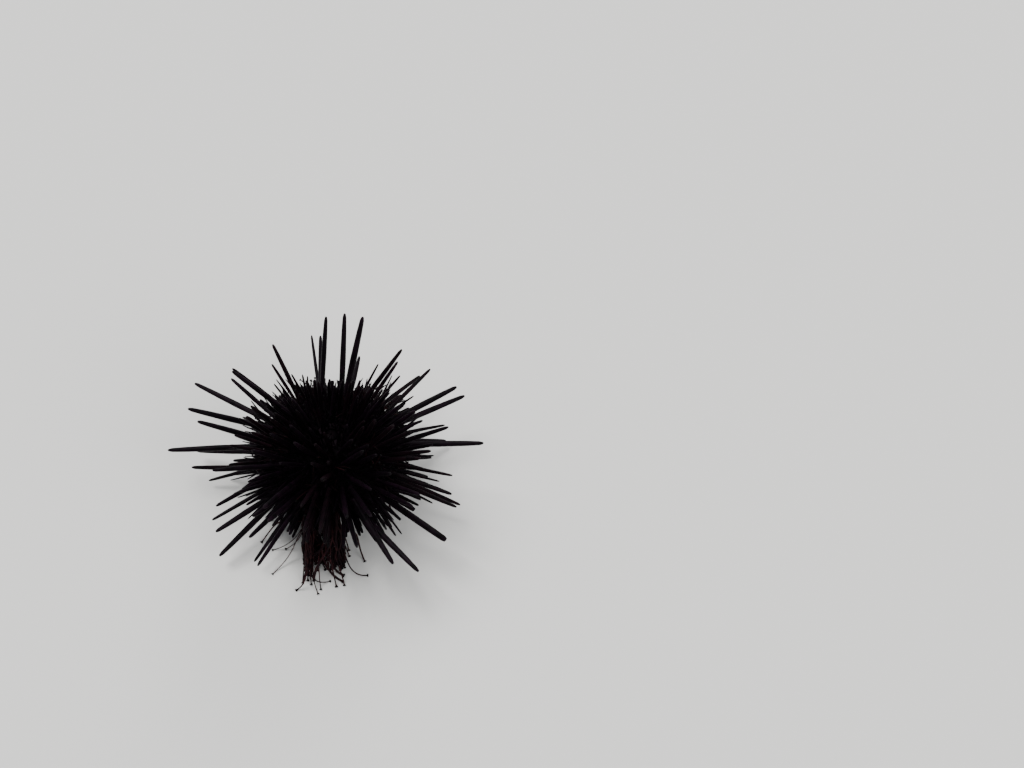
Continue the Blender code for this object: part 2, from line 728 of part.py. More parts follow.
def apical_outline(inner, outer):
    """Closed outline of a plate ring on top of the test, its upper side slightly domed."""
    floor = profile_at(1.0)[1] - PLATE_DEPTH + GAP
    rim = profile_at(1.0)[1]
    crown = WIDEST_Z + UPPER_HEIGHT
    top = [(r, rim + (crown - rim) * (1.0 - (r / APICAL_RADIUS) ** 2)) for r in (inner, outer)]
    return [top[0], top[1], (outer, floor), (inner, floor)]


def make_apical_plates(parts, cutters, looks):
    """Genital plates with the madreporite, ocular plates and the periproct."""
    ring = apical_outline(PERIPROCT_RADIUS + GAP, APICAL_RADIUS - GAP)
    for k in range(SECTOR_PAIRS):
        middle = FIRST_AMBULACRUM + k * PAIR_ANGLE
        is_sieve = k + 1 == MADREPORITE_NUMBER
        name = "madreporite" if is_sieve else f"genital_plate_{k + 1}"
        for plate, bearing, half, look in (
            (name, middle + PAIR_ANGLE / 2.0, GENITAL_HALF, "madreporite" if is_sieve else "plate"),
            (f"ocular_plate_{k + 1}", middle, OCULAR_HALF, "plate"),
        ):
            body = turned(plate, ring, parts, looks[look])
            combine(body, sector_cutter(f"{plate}_wedge", bearing, half, cutters), "INTERSECT")
    floor = profile_at(1.0)[1] - PLATE_DEPTH + GAP
    crown = WIDEST_Z + UPPER_HEIGHT
    dome = [(0.0, crown + DOME_TOP),
            (PERIPROCT_RADIUS * DOME_SHOULDER[0], crown + DOME_SHOULDER[1]),
            (PERIPROCT_RADIUS, crown - DOME_SINK), (PERIPROCT_RADIUS, floor), (0.0, floor)]
    turned("periproct", dome, parts, looks["skin"])


def make_mouth(parts, cutters, looks):
    """Peristome membrane with the five teeth in its mouth."""
    rim = profile_at(0.0)[1]
    roof = rim + PLATE_DEPTH - GAP
    outer = PERISTOME_RADIUS - GAP
    membrane = [(MOUTH_RADIUS, roof), (outer, roof), (outer, rim + MEMBRANE_RISE),
                (outer * MEMBRANE_MIDWAY[0], rim + MEMBRANE_MIDWAY[1]),
                (MOUTH_RADIUS * MEMBRANE_LIP[0], rim + MEMBRANE_LIP[1]),
                (MOUTH_RADIUS, rim - MOUTH_SINK)]
    turned("peristome", membrane, parts, looks["skin"])
    beak = [(BEAK_HOLLOW, roof), (TEETH_TOP_RADIUS, roof), (TEETH_TOP_RADIUS, rim),
            (TEETH_TIP_RADIUS, rim - TEETH_DROP), (BEAK_HOLLOW, rim - TEETH_DROP)]
    for k in range(SECTOR_PAIRS):
        middle = FIRST_AMBULACRUM + (k + 0.5) * PAIR_ANGLE
        tooth = turned(f"tooth_{k + 1}", beak, parts, looks["tooth"])
        combine(tooth, sector_cutter(f"tooth_{k + 1}_wedge", middle, PAIR_ANGLE / 2.0, cutters),
                "INTERSECT")


def build():
    """The whole urchin."""
    clear_scene()
    parts = new_collection("purple_sea_urchin")
    cutters = new_collection("cutters")
    looks = {
        "inter": material("interambulacrum", (0.030, 0.013, 0.034), 0.45),
        "amb": material("ambulacrum", (0.038, 0.014, 0.030), 0.50),
        "plate": material("apical_plate", (0.060, 0.030, 0.050), 0.55),
        "madreporite": material("madreporite", (0.090, 0.055, 0.075), 0.60),
        "skin": material("membrane", (0.055, 0.025, 0.032), 0.60),
        "tooth": material("tooth", (0.70, 0.68, 0.62), 0.35),
    }
    make_sectors(parts, cutters, looks)
    make_apical_plates(parts, cutters, looks)
    make_mouth(parts, cutters, looks)


build()
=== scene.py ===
import math

import bpy
import numpy as np
from mathutils import Matrix, Vector


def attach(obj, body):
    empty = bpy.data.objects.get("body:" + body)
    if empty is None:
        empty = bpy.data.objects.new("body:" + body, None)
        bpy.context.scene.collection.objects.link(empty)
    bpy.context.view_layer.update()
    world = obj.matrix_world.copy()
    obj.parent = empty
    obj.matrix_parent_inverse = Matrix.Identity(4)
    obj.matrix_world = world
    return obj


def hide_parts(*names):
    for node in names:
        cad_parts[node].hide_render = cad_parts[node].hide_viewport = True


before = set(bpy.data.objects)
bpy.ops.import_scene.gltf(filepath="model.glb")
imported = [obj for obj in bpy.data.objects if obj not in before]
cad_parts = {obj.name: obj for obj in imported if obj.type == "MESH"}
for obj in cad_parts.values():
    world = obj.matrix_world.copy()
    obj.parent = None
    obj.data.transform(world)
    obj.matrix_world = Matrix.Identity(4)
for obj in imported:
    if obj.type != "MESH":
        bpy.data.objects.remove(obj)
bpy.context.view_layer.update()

MM = 0.001

# Test
AXIS_X = 0.0018
AXIS_Y = 0.0006
TEST_RADIUS = 0.021
WIDEST_Z = 0.0150
UPPER_HEIGHT = 0.0125
LOWER_HEIGHT = 0.0093
UPPER_POWER = 2.15
LOWER_POWER = 2.5
PERISTOME_RADIUS = 0.0088
APICAL_RADIUS = 0.0046
PLATE_DEPTH = 0.0016
TABLE_STEPS = 601
SLOPE_STEP = 0.004

# Sectors
SECTOR_PAIRS = 5
PAIR_ANGLE = 360.0 / SECTOR_PAIRS
FIRST_AMBULACRUM = -97.5
AMBULACRUM_HALF = 14.4
INTERAMBULACRUM_HALF = PAIR_ANGLE / 2.0 - AMBULACRUM_HALF
GAP = 0.0003

# Apical plates, mouth and teeth
PERIPROCT_RADIUS = 0.0020
OCULAR_HALF = 11.0
GENITAL_HALF = PAIR_ANGLE / 2.0 - OCULAR_HALF
MADREPORITE_NUMBER = 2
MOUTH_RADIUS = 0.0024
TEETH_TOP_RADIUS = 0.0020
TEETH_DROP = 0.0017

# Pose plane: through the test's middle, square to the view. The outline spines are laid
# out in it by bearing and reach, as they appear from the viewing point, which looks down
# on the middle at VIEW_ELEVATION. The view's own axis passes to the right of the middle
# and above it, by VIEW_OFFSET times the depth, so the plane is turned a little with it.
MIDDLE_Z = 0.0165
VIEW_ELEVATION = 60.0
VIEW_DISTANCE = 0.410
VIEW_OFFSET = (0.1430, 0.0537)
INNER_REACH = 0.024
LENS_MM = 44.48
SENSOR_MM = 36.0

# Outline spines: bearing at the inner reach, bearing of the tip (degrees in the pose
# plane, anticlockwise from +X), reach of the tip (millimetres from the middle) and
# stoutness, which scales the thickness that goes with the length.
OUTLINE_SPINES = (
    (4.8, 3.3, 49.0, 1.0), (7.8, 5.5, 37.0, 0.9), (8.3, 12.0, 38.5, 0.8),
    (14.8, 13.3, 37.5, 0.7), (23.4, 22.8, 46.5, 1.05), (27.2, 27.4, 45.4, 1.05),
    (34.5, 34.1, 32.0, 0.45), (35.9, 39.9, 41.5, 0.85), (43.4, 40.6, 37.5, 0.85),
    (48.0, 47.9, 33.0, 0.6), (52.6, 53.6, 36.0, 0.85), (56.8, 55.4, 40.0, 0.85),
    (61.8, 61.8, 32.0, 0.55), (72.5, 73.5, 32.0, 0.9), (78.2, 76.8, 44.6, 1.0),
    (82.7, 84.4, 44.7, 0.9), (95.0, 92.1, 43.5, 0.9), (98.0, 95.2, 37.5, 0.85),
    (101.0, 99.5, 38.0, 0.6), (108.0, 107.2, 25.5, 0.45), (111.0, 110.3, 26.5, 0.45),
    (116.5, 117.0, 28.0, 0.5), (120.5, 118.5, 39.3, 0.8), (124.0, 124.0, 34.0, 0.75),
    (130.2, 130.0, 28.5, 0.45), (137.5, 139.8, 41.5, 0.85), (138.5, 140.8, 41.0, 0.85),
    (146.5, 143.7, 39.8, 0.85), (153.9, 153.3, 49.0, 1.0), (159.3, 158.5, 30.5, 0.6),
    (159.8, 163.2, 48.0, 1.0), (168.8, 167.1, 44.0, 0.95), (176.6, 179.4, 52.4, 1.0),
    (179.9, 179.6, 43.0, 0.9), (191.5, 186.3, 45.0, 0.85), (192.5, 188.8, 38.5, 0.8),
    (191.0, 193.2, 40.3, 0.65), (203.5, 205.2, 40.8, 0.85), (209.0, 209.8, 44.0, 0.8),
    (215.3, 214.7, 45.0, 1.05), (220.5, 223.0, 49.0, 1.05), (227.5, 226.3, 38.0, 0.9),
    (235.0, 235.0, 43.0, 0.75), (238.2, 237.2, 43.5, 0.75), (296.0, 299.0, 41.1, 1.0),
    (300.0, 306.2, 47.6, 1.05), (309.0, 307.6, 34.0, 0.6), (312.0, 310.7, 34.8, 0.45),
    (319.8, 322.5, 46.5, 1.25), (333.5, 333.2, 36.5, 0.55), (337.8, 336.3, 44.0, 0.8),
    (338.5, 337.7, 44.8, 0.8), (339.6, 340.7, 41.0, 0.8), (342.5, 344.8, 36.0, 0.5),
    (348.5, 349.0, 39.7, 0.6), (354.5, 356.6, 32.4, 0.45), (356.0, 358.0, 33.0, 0.5),
)

# Layout of the primary spines
INTER_ROWS = 11
AMB_ROWS = 10
ZIGZAG = 0.25
INNER_COLUMN = 0.42
OUTER_COLUMN = 0.80
OUTER_COLUMN_SHARES = (0.20, 0.80)
ROOT_SPACING = 0.0023
SPINE_BASE_RADIUS = 0.00057
SPINE_SWELL = 0.00043
SPINE_FULL_LENGTH = 0.030
SPINE_TIP_SHARE = 0.75
SPINE_TIP_MIN = 0.00026
FILLING_STOUTNESS = 0.82
SPINE_CLEARANCE = 0.00035
SPINE_LONGEST = 0.0335
SPINE_STEEPEST_LEAN = 50.0
SHEET_COST = 0.0005
LEAN_COST = 15.0
LENGTH_COST = 0.004
OUTLINE_SHORTEST = 0.014
OUTLINE_GROWTH = 0.45
OUTLINE_FROM = 0.020
DEPTH_TRIES = np.arange(-0.040, 0.0401, 0.004)
SUPPORT_SHARE = 0.14
SUPPORT_SPLAY = 0.45
LIFT_OFF_FLOOR = 0.0012
TIP_LIFT = 0.0018
RULE_SEED = 41
MOUTH_LENGTH = 0.0070
LENGTH_GAIN = 0.0220
APEX_SHARE = 0.86
LENGTH_POWER = 0.75
AIM_TRIES = 24
SHORTEST_STRETCH = 0.86
LONGEST_STRETCH = 1.08
LEAN_OUTWARD = 0.45
LEAN_UPWARD = 0.45
FIRST_SPREAD = 0.10
MORE_SPREAD = 0.012
SUPPORT_SPREAD = 0.5
TRY_SHORTER = 0.97
SHORTEN_BY = 0.93
SHORTEST_SPINE = 0.004
CORE_REACH = 0.0302
CORE_DROOP = 0.0041
CORE_SPREAD = 0.0031

# Clearings in the spines inside the outline: middle bearing, half width (degrees in the
# pose plane) and reach (millimetres) that the spines there keep within.
CLEARINGS = (
    (16.3, 1.8, 26.0), (172.5, 2.4, 27.0), (182.8, 2.3, 25.5), (199.5, 4.0, 28.5),
    (241.5, 3.6, 29.0), (281.0, 3.5, 28.5), (290.5, 3.0, 28.0), (315.5, 2.4, 31.0),
    (351.5, 2.0, 27.5),
)


# ---------------------------------------------------------------- test surface

def profile_angles():
    """Angles on the superellipse at the peristome's edge and at the apical ring."""
    low = -math.acos((PERISTOME_RADIUS / TEST_RADIUS) ** (LOWER_POWER / 2.0))
    high = math.acos((APICAL_RADIUS / TEST_RADIUS) ** (UPPER_POWER / 2.0))
    return low, high


def superellipse(angle):
    """Radius and height of the test's outer profile at an angle from its widest ring."""
    power = UPPER_POWER if angle > 0.0 else LOWER_POWER
    height = UPPER_HEIGHT if angle > 0.0 else LOWER_HEIGHT
    radius = TEST_RADIUS * math.cos(angle) ** (2.0 / power)
    rise = height * abs(math.sin(angle)) ** (2.0 / power)
    return radius, WIDEST_Z + math.copysign(rise, angle)


def profile_table():
    """Profile points, the share of the way along it at each, and the profile's length."""
    low, high = profile_angles()
    points = np.array([superellipse(a) for a in np.linspace(low, high, TABLE_STEPS)])
    steps = np.hypot(*np.diff(points, axis=0).T)
    travelled = np.concatenate(([0.0], np.cumsum(steps)))
    return travelled / travelled[-1], points, travelled[-1]


SHARES, PROFILE, PROFILE_LENGTH = profile_table()


def profile_at(share):
    """Radius and height at a share of the way along the profile."""
    return np.interp(share, SHARES, PROFILE[:, 0]), np.interp(share, SHARES, PROFILE[:, 1])


def around_axis(radius, bearing, height):
    """World points at radii and bearings about the test's axis, and at heights."""
    radius, turn, height = np.broadcast_arrays(radius, np.radians(bearing), height)
    return np.stack((AXIS_X + radius * np.cos(turn), AXIS_Y + radius * np.sin(turn), height),
                    axis=-1)


def surface_point(share, bearing):
    """World points on the test."""
    radius, height = profile_at(share)
    return around_axis(radius, bearing, height)


def surface_normal(share, bearing):
    """Outward unit normals of the test, square to the profile's own slope."""
    r0, z0 = profile_at(share - SLOPE_STEP)
    r1, z1 = profile_at(share + SLOPE_STEP)
    size = np.hypot(z1 - z0, r0 - r1)
    out, turn, up = np.broadcast_arrays((z1 - z0) / size, np.radians(bearing), (r0 - r1) / size)
    return np.stack((out * np.cos(turn), out * np.sin(turn), up), axis=-1)


def on_test(share, bearing):
    """Points on the test and the outward unit normals there."""
    return surface_point(share, bearing), surface_normal(share, bearing)


def unit(vector):
    """The vector, or each vector of an array, at length one."""
    return vector / np.linalg.norm(vector, axis=-1, keepdims=True)


def turns(sides):
    """Evenly spaced angles once round, in radians."""
    return np.linspace(0.0, 2.0 * math.pi, sides, endpoint=False)


def ray(k):
    """Bearing of the middle of an ambulacrum, counted from 0 at the front."""
    return FIRST_AMBULACRUM + k * PAIR_ANGLE


# ---------------------------------------------------------------- spine layout

def sectors():
    """Name, middle bearing and half width of the ten sectors, the front one first."""
    for k in range(SECTOR_PAIRS):
        yield f"ambulacrum_{k + 1}", ray(k), AMBULACRUM_HALF
        yield f"interambulacrum_{k + 1}", ray(k) + PAIR_ANGLE / 2.0, INTERAMBULACRUM_HALF


def tubercles():
    """Roots of the primary spines, as (sector, share, bearing, point, normal).

    Each sector has two zigzag columns. The interambulacra have two more at their
    borders, round the widest part. A root too close to an earlier one is left out.
    """
    roots = []
    for name, middle, half in sectors():
        broad = name.startswith("inter")
        rows = INTER_ROWS if broad else AMB_ROWS
        columns = [(INNER_COLUMN, 0.0, 1.0)]
        if broad:
            columns.append((OUTER_COLUMN, *OUTER_COLUMN_SHARES))
        for column, first, last in columns:
            for row in range(rows):
                for side in (-1, 1):
                    share = (row + 0.5 + ZIGZAG * side) / rows
                    if not first <= share <= last:
                        continue
                    bearing = middle + side * column * half
                    point = surface_point(share, bearing)
                    if any(np.linalg.norm(point - r[3]) < ROOT_SPACING for r in roots):
                        continue
                    roots.append((name, share, bearing, point, surface_normal(share, bearing)))
    return roots


def spine_radii(length, stoutness):
    """Radius at the root and at the tip of a spine."""
    base = stoutness * (SPINE_BASE_RADIUS + SPINE_SWELL * min(length / SPINE_FULL_LENGTH, 1.0))
    return base, max(base * SPINE_TIP_SHARE, SPINE_TIP_MIN)


def rod_gaps(starts, ends, radii, others):
    """Smallest gap between each of some tapering rods and a list of others.

    The nearest points of two straight runs are found from the dot products of the runs
    and of the line between their starts, kept to the runs' own ends.
    """
    if not others:
        return np.ones(len(starts))
    first = np.array([o[0] for o in others])
    widths = np.array([o[2] for o in others])
    run = ends - starts
    runs = np.array([o[1] for o in others]) - first
    back = starts[:, None] - first
    a = np.einsum("ij,ij->i", run, run)[:, None]
    e = np.einsum("ij,ij->i", runs, runs)
    b = run @ runs.T
    c = np.einsum("ijk,ik->ij", back, run)
    f = np.einsum("ijk,jk->ij", back, runs)
    s = np.clip((b * f - c * e) / np.maximum(a * e - b * b, 1e-18), 0.0, 1.0)
    t = np.clip((b * s + f) / e, 0.0, 1.0)
    s = np.clip((b * t - c) / a, 0.0, 1.0)
    apart = back + s[..., None] * run[:, None] - t[..., None] * runs
    own = radii[:, :1] + (radii[:, 1:] - radii[:, :1]) * s
    their = widths[:, 0] + (widths[:, 1] - widths[:, 0]) * t
    return (np.linalg.norm(apart, axis=-1) - own - their).min(axis=1)


def clearance(start, end, radii, others):
    """Smallest gap between one tapering rod and a list of others."""
    return float(rod_gaps(start[None], end[None], np.array([radii]), others)[0])


def view_axes():
    """Across, upward and outward unit directions of the pose plane.

    Directions square to the line of sight, turned by the least angle that brings the
    outward one from the line of sight to the view's own axis.
    """
    tilt = math.radians(VIEW_ELEVATION)
    square = Matrix(((1.0, 0.0, 0.0), (0.0, math.sin(tilt), -math.cos(tilt)),
                     (0.0, math.cos(tilt), math.sin(tilt))))
    sight = Vector((-VIEW_OFFSET[0], -VIEW_OFFSET[1], -1.0))
    turn = sight.rotation_difference(Vector((0.0, 0.0, -1.0))).to_matrix()
    return [np.array(axis) for axis in (square @ turn).transposed()]


ACROSS, UPWARD, OUTWARD = view_axes()
MIDDLE = np.array((AXIS_X, AXIS_Y, MIDDLE_Z))
VIEW_POINT = MIDDLE + VIEW_DISTANCE * np.array((0.0, -math.cos(math.radians(VIEW_ELEVATION)),
                                                math.sin(math.radians(VIEW_ELEVATION))))
VIEW_DEPTH = (VIEW_POINT - MIDDLE) @ OUTWARD


def plane_point(bearing, reach):
    """Point of the pose plane at a bearing and reach from the test's middle."""
    turn = math.radians(bearing)
    return MIDDLE + reach * (math.cos(turn) * ACROSS + math.sin(turn) * UPWARD)


def plane_reach(points):
    """Bearings in degrees and reaches of points as they appear in the pose plane."""
    sight = points - VIEW_POINT
    flat = VIEW_POINT + sight * (VIEW_DEPTH / -(sight @ OUTWARD))[..., None] - MIDDLE
    x, y = flat @ ACROSS, flat @ UPWARD
    return np.degrees(np.arctan2(y, x)), np.hypot(x, y)


def outline_spines(roots):
    """Spines of the outline, longest reach first.

    A tip may lie at any depth along its line of sight. Every free root is tried with
    every depth, and the pair is taken that best keeps the spine in its plane of sight,
    square to the test and near its usual length, and that clears the spines so far.
    """
    points = np.array([r[3] for r in roots])
    normals = np.array([r[4] for r in roots])
    free = np.ones(len(roots), bool)
    spines = []
    for inner, outer, reach, stoutness in sorted(OUTLINE_SPINES, key=lambda row: -row[2]):
        far = plane_point(outer, reach / 1000.0)
        near = plane_point(inner, INNER_REACH)
        sheet = unit(np.cross(far - VIEW_POINT, near - VIEW_POINT))
        off_sheet = np.abs((points - VIEW_POINT) @ sheet)
        usual = OUTLINE_SHORTEST + OUTLINE_GROWTH * (reach / 1000.0 - OUTLINE_FROM)
        choices = []
        for depth in DEPTH_TRIES:
            tip = far + (VIEW_POINT - far) * (depth / VIEW_DISTANCE)
            if tip[2] < TIP_LIFT:
                continue
            run = tip - points
            length = np.linalg.norm(run, axis=1)
            lean = np.degrees(np.arccos(np.clip(
                np.einsum("ij,ij->i", run, normals) / length, -1.0, 1.0)))
            cost = ((off_sheet / SHEET_COST) ** 2 + (lean / LEAN_COST) ** 2
                    + ((length - usual) / LENGTH_COST) ** 2)
            likely = free & (lean < SPINE_STEEPEST_LEAN) & (length < SPINE_LONGEST)
            choices += [(cost[i], i, tip) for i in np.flatnonzero(likely)]
        for _, i, tip in sorted(choices, key=lambda choice: choice[:2]):
            radii = spine_radii(np.linalg.norm(tip - points[i]), stoutness)
            if clearance(points[i], tip, radii, [s[1:] for s in spines]) > SPINE_CLEARANCE:
                spines.append((i, points[i], tip, radii))
                free[i] = False
                break
    return spines


def usual_length(share):
    """Length of a spine by its place: short at the mouth, long round the widest part."""
    swell = math.sin(math.pi * share * APEX_SHARE) ** LENGTH_POWER
    return MOUTH_LENGTH + LENGTH_GAIN * swell


def widest_reach(bearing):
    """Reach in the pose plane that the spines inside the outline keep within."""
    turn = np.radians(bearing)
    widest = CORE_REACH - CORE_DROOP * np.sin(turn) + CORE_SPREAD * np.cos(2.0 * turn)
    for middle, half, reach in CLEARINGS:
        near = np.abs((bearing - middle + 180.0) % 360.0 - 180.0) < half
        widest = np.where(near, np.minimum(widest, reach / 1000.0), widest)
    return widest


def filling_spines(roots, spines):
    """Spines on the roots that the outline left free, in their order on the test.

    Those round the mouth stand on the floor. The rest stand off the test with a little
    seeded scatter, and are shortened where they would pass the outline or the floor.
    """
    rng = np.random.default_rng(RULE_SEED)
    taken = {s[0] for s in spines}
    placed = list(spines)
    for i, (_, share, bearing, point, normal) in enumerate(roots):
        scatter = rng.normal(size=(AIM_TRIES, 3))
        stretch = rng.uniform(SHORTEST_STRETCH, LONGEST_STRETCH)
        if i in taken:
            continue
        outward = unit(point - MIDDLE)
        for attempt in range(AIM_TRIES):
            spread = FIRST_SPREAD + MORE_SPREAD * attempt
            if share < SUPPORT_SHARE:
                turn = math.radians(bearing)
                splay = SUPPORT_SPLAY * np.array((math.cos(turn), math.sin(turn), 0.0))
                jitter = SUPPORT_SPREAD * spread * scatter[attempt]
                aim = unit(splay + np.array((0.0, 0.0, -1.0)) + jitter)
                length = point[2] / -aim[2]
            else:
                aim = unit(normal + LEAN_OUTWARD * outward + spread * scatter[attempt])
                length = usual_length(share) * stretch * TRY_SHORTER ** attempt
                if point[2] + aim[2] * length < LIFT_OFF_FLOOR:
                    aim = unit(aim + np.array((0.0, 0.0, LEAN_UPWARD)))
                while length > SHORTEST_SPINE:
                    tip = point + aim * length
                    side, reach = plane_reach(tip)
                    if reach < widest_reach(side) * (1.0 + stretch) / 2.0 and tip[2] > LIFT_OFF_FLOOR:
                        break
                    length *= SHORTEN_BY
            tip = point + aim * length
            radii = spine_radii(length, FILLING_STOUTNESS)
            if clearance(point, tip, radii, [s[1:] for s in placed]) > SPINE_CLEARANCE:
                placed.append((i, point, tip, radii))
                break
    return placed


# ---------------------------------------------------------------- mesh making

STEEP = 0.9
STRIP_ROWS = 3
STRIP_MARGIN = 0.06
PATCH_SIZE = 0.003
GRAIN_OFFSET = 0.37


def closed_tubes(name, rings, poles, layouts, values):
    """One mesh of many closed tubes that all have the same rings and sides.

    rings is (tubes, rings, sides, 3), each ring running anticlockwise about the way its
    tube travels, so that faces point outwards. poles is (tubes, 2, 3), the points that
    close each tube's start and end. layouts maps a UV map's name to a function of (tube,
    around, along). values maps an attribute's name to a value for each ring point.
    """
    tubes, count, sides = rings.shape[:3]
    size = count * sides + 2
    points = np.concatenate((poles[:, :1], rings.reshape(tubes, -1, 3), poles[:, 1:]), axis=1)
    side = np.arange(sides)
    after = (side + 1) % sides
    row = np.arange(count - 1)[:, None]
    top = (count - 1) * sides + 1
    first = np.stack((np.zeros(sides, int), after + 1, side + 1), axis=-1)
    walls = np.stack((row * sides + side, row * sides + after,
                      (row + 1) * sides + after, (row + 1) * sides + side), axis=-1) + 1
    last = np.stack((np.full(sides, size - 1), top + side, top + after), axis=-1)
    corners = np.concatenate((first.ravel(), walls.ravel(), last.ravel()))
    faces = np.repeat((3, 4, 3), (sides, (count - 1) * sides, sides))
    starts = np.concatenate(([0], np.cumsum(faces)[:-1]))
    tube = np.arange(tubes)[:, None]

    mesh = bpy.data.meshes.new(name)
    mesh.vertices.add(tubes * size)
    mesh.vertices.foreach_set("co", points.astype(np.float32).ravel())
    mesh.loops.add(tubes * len(corners))
    mesh.loops.foreach_set("vertex_index", (tube * size + corners).astype(np.int32).ravel())
    mesh.polygons.add(tubes * len(starts))
    mesh.polygons.foreach_set("loop_start", (tube * len(corners) + starts).astype(np.int32).ravel())
    mesh.update(calc_edges=True)
    mesh.shade_smooth()

    quads = np.stack((side, side + 1.0, side + 1.0, side), axis=-1)
    beside = np.concatenate((np.stack((side + 0.5, side + 1.0, side), axis=-1).ravel(),
                             np.tile(quads.ravel(), count - 1),
                             np.stack((side + 0.5, side, side + 1.0), axis=-1).ravel())) / sides
    level = (row + 1.0) * np.ones(sides)
    onward = np.concatenate((np.tile((0.0, 1.0, 1.0), sides),
                             np.stack((level, level, level + 1.0, level + 1.0), axis=-1).ravel(),
                             np.tile((count + 1.0, count, count), sides))) / (count + 1.0)
    for key, layout in layouts.items():
        places = np.stack(np.broadcast_arrays(*layout(tube, beside[None], onward[None])), axis=-1)
        mesh.uv_layers.new(name=key).data.foreach_set("uv", places.astype(np.float32).ravel())
    for key, value in values.items():
        full = np.broadcast_to(value, (tubes, count, sides))
        ends = full.mean(axis=2)
        column = np.concatenate((ends[:, :1], full.reshape(tubes, -1), ends[:, -1:]), axis=1)
        mesh.attributes.new(key, "FLOAT", "POINT").data.foreach_set(
            "value", column.astype(np.float32).ravel())
    return mesh


def swept_rings(paths, radii, sides):
    """Rings square to paths (tubes, rings, 3), with radii (tubes, rings).

    The first direction across each path is carried along it without twist.
    """
    run = unit(np.gradient(paths, axis=1))
    steep = np.abs(run[:, 0, 2:]) > STEEP
    across = np.where(steep, (1.0, 0.0, 0.0), (0.0, 0.0, 1.0))
    carried = []
    for ring in range(paths.shape[1]):
        along = run[:, ring]
        across = unit(across - np.sum(across * along, axis=1, keepdims=True) * along)
        carried.append(across)
    across = np.stack(carried, axis=1)[:, :, None]
    beside = np.cross(run[:, :, None], across)
    turn = turns(sides)[:, None]
    return paths[:, :, None] + np.broadcast_to(radii, paths.shape[:2])[..., None, None] * (
        np.cos(turn) * across + np.sin(turn) * beside)


def strips(total):
    """UV layout with each tube unrolled as an upright strip, in a few rows of neighbours."""
    columns = math.ceil(total / STRIP_ROWS)
    width = 1.0 - 2.0 * STRIP_MARGIN
    return lambda tube, around, along: (
        (tube % columns + STRIP_MARGIN + width * around) / columns,
        (tube // columns + STRIP_MARGIN + width * along) / STRIP_ROWS)


def patches(shares, bearings):
    """UV layout with each tube in a small patch at its root's place on the unrolled test."""
    room = 1.0 - PATCH_SIZE
    u = room * (np.asarray(bearings) % 360.0 / 360.0)[:, None]
    v = room * np.broadcast_to(shares, len(u))[:, None]
    return lambda tube, around, along: (u + PATCH_SIZE * around, v + PATCH_SIZE * along)


def whole(tube, around, along):
    """UV layout with a single piece over the whole square."""
    return around + 0 * tube, along


def lengthwise(tube, around, along):
    """UV map round and along every tube, for grain that runs with it."""
    return around, along + GRAIN_OFFSET * tube


def add_piece(name, rings, poles, layouts, values, look, nodes=()):
    """Shown piece of closed tubes, riding on the one body and standing for the nodes."""
    mesh = closed_tubes(name, rings, poles, layouts, values)
    made = bpy.data.objects.new(name, mesh)
    bpy.context.scene.collection.objects.link(made)
    mesh.materials.append(look)
    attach(made, "root")
    if nodes:
        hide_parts(*nodes)


# ---------------------------------------------------------------- materials

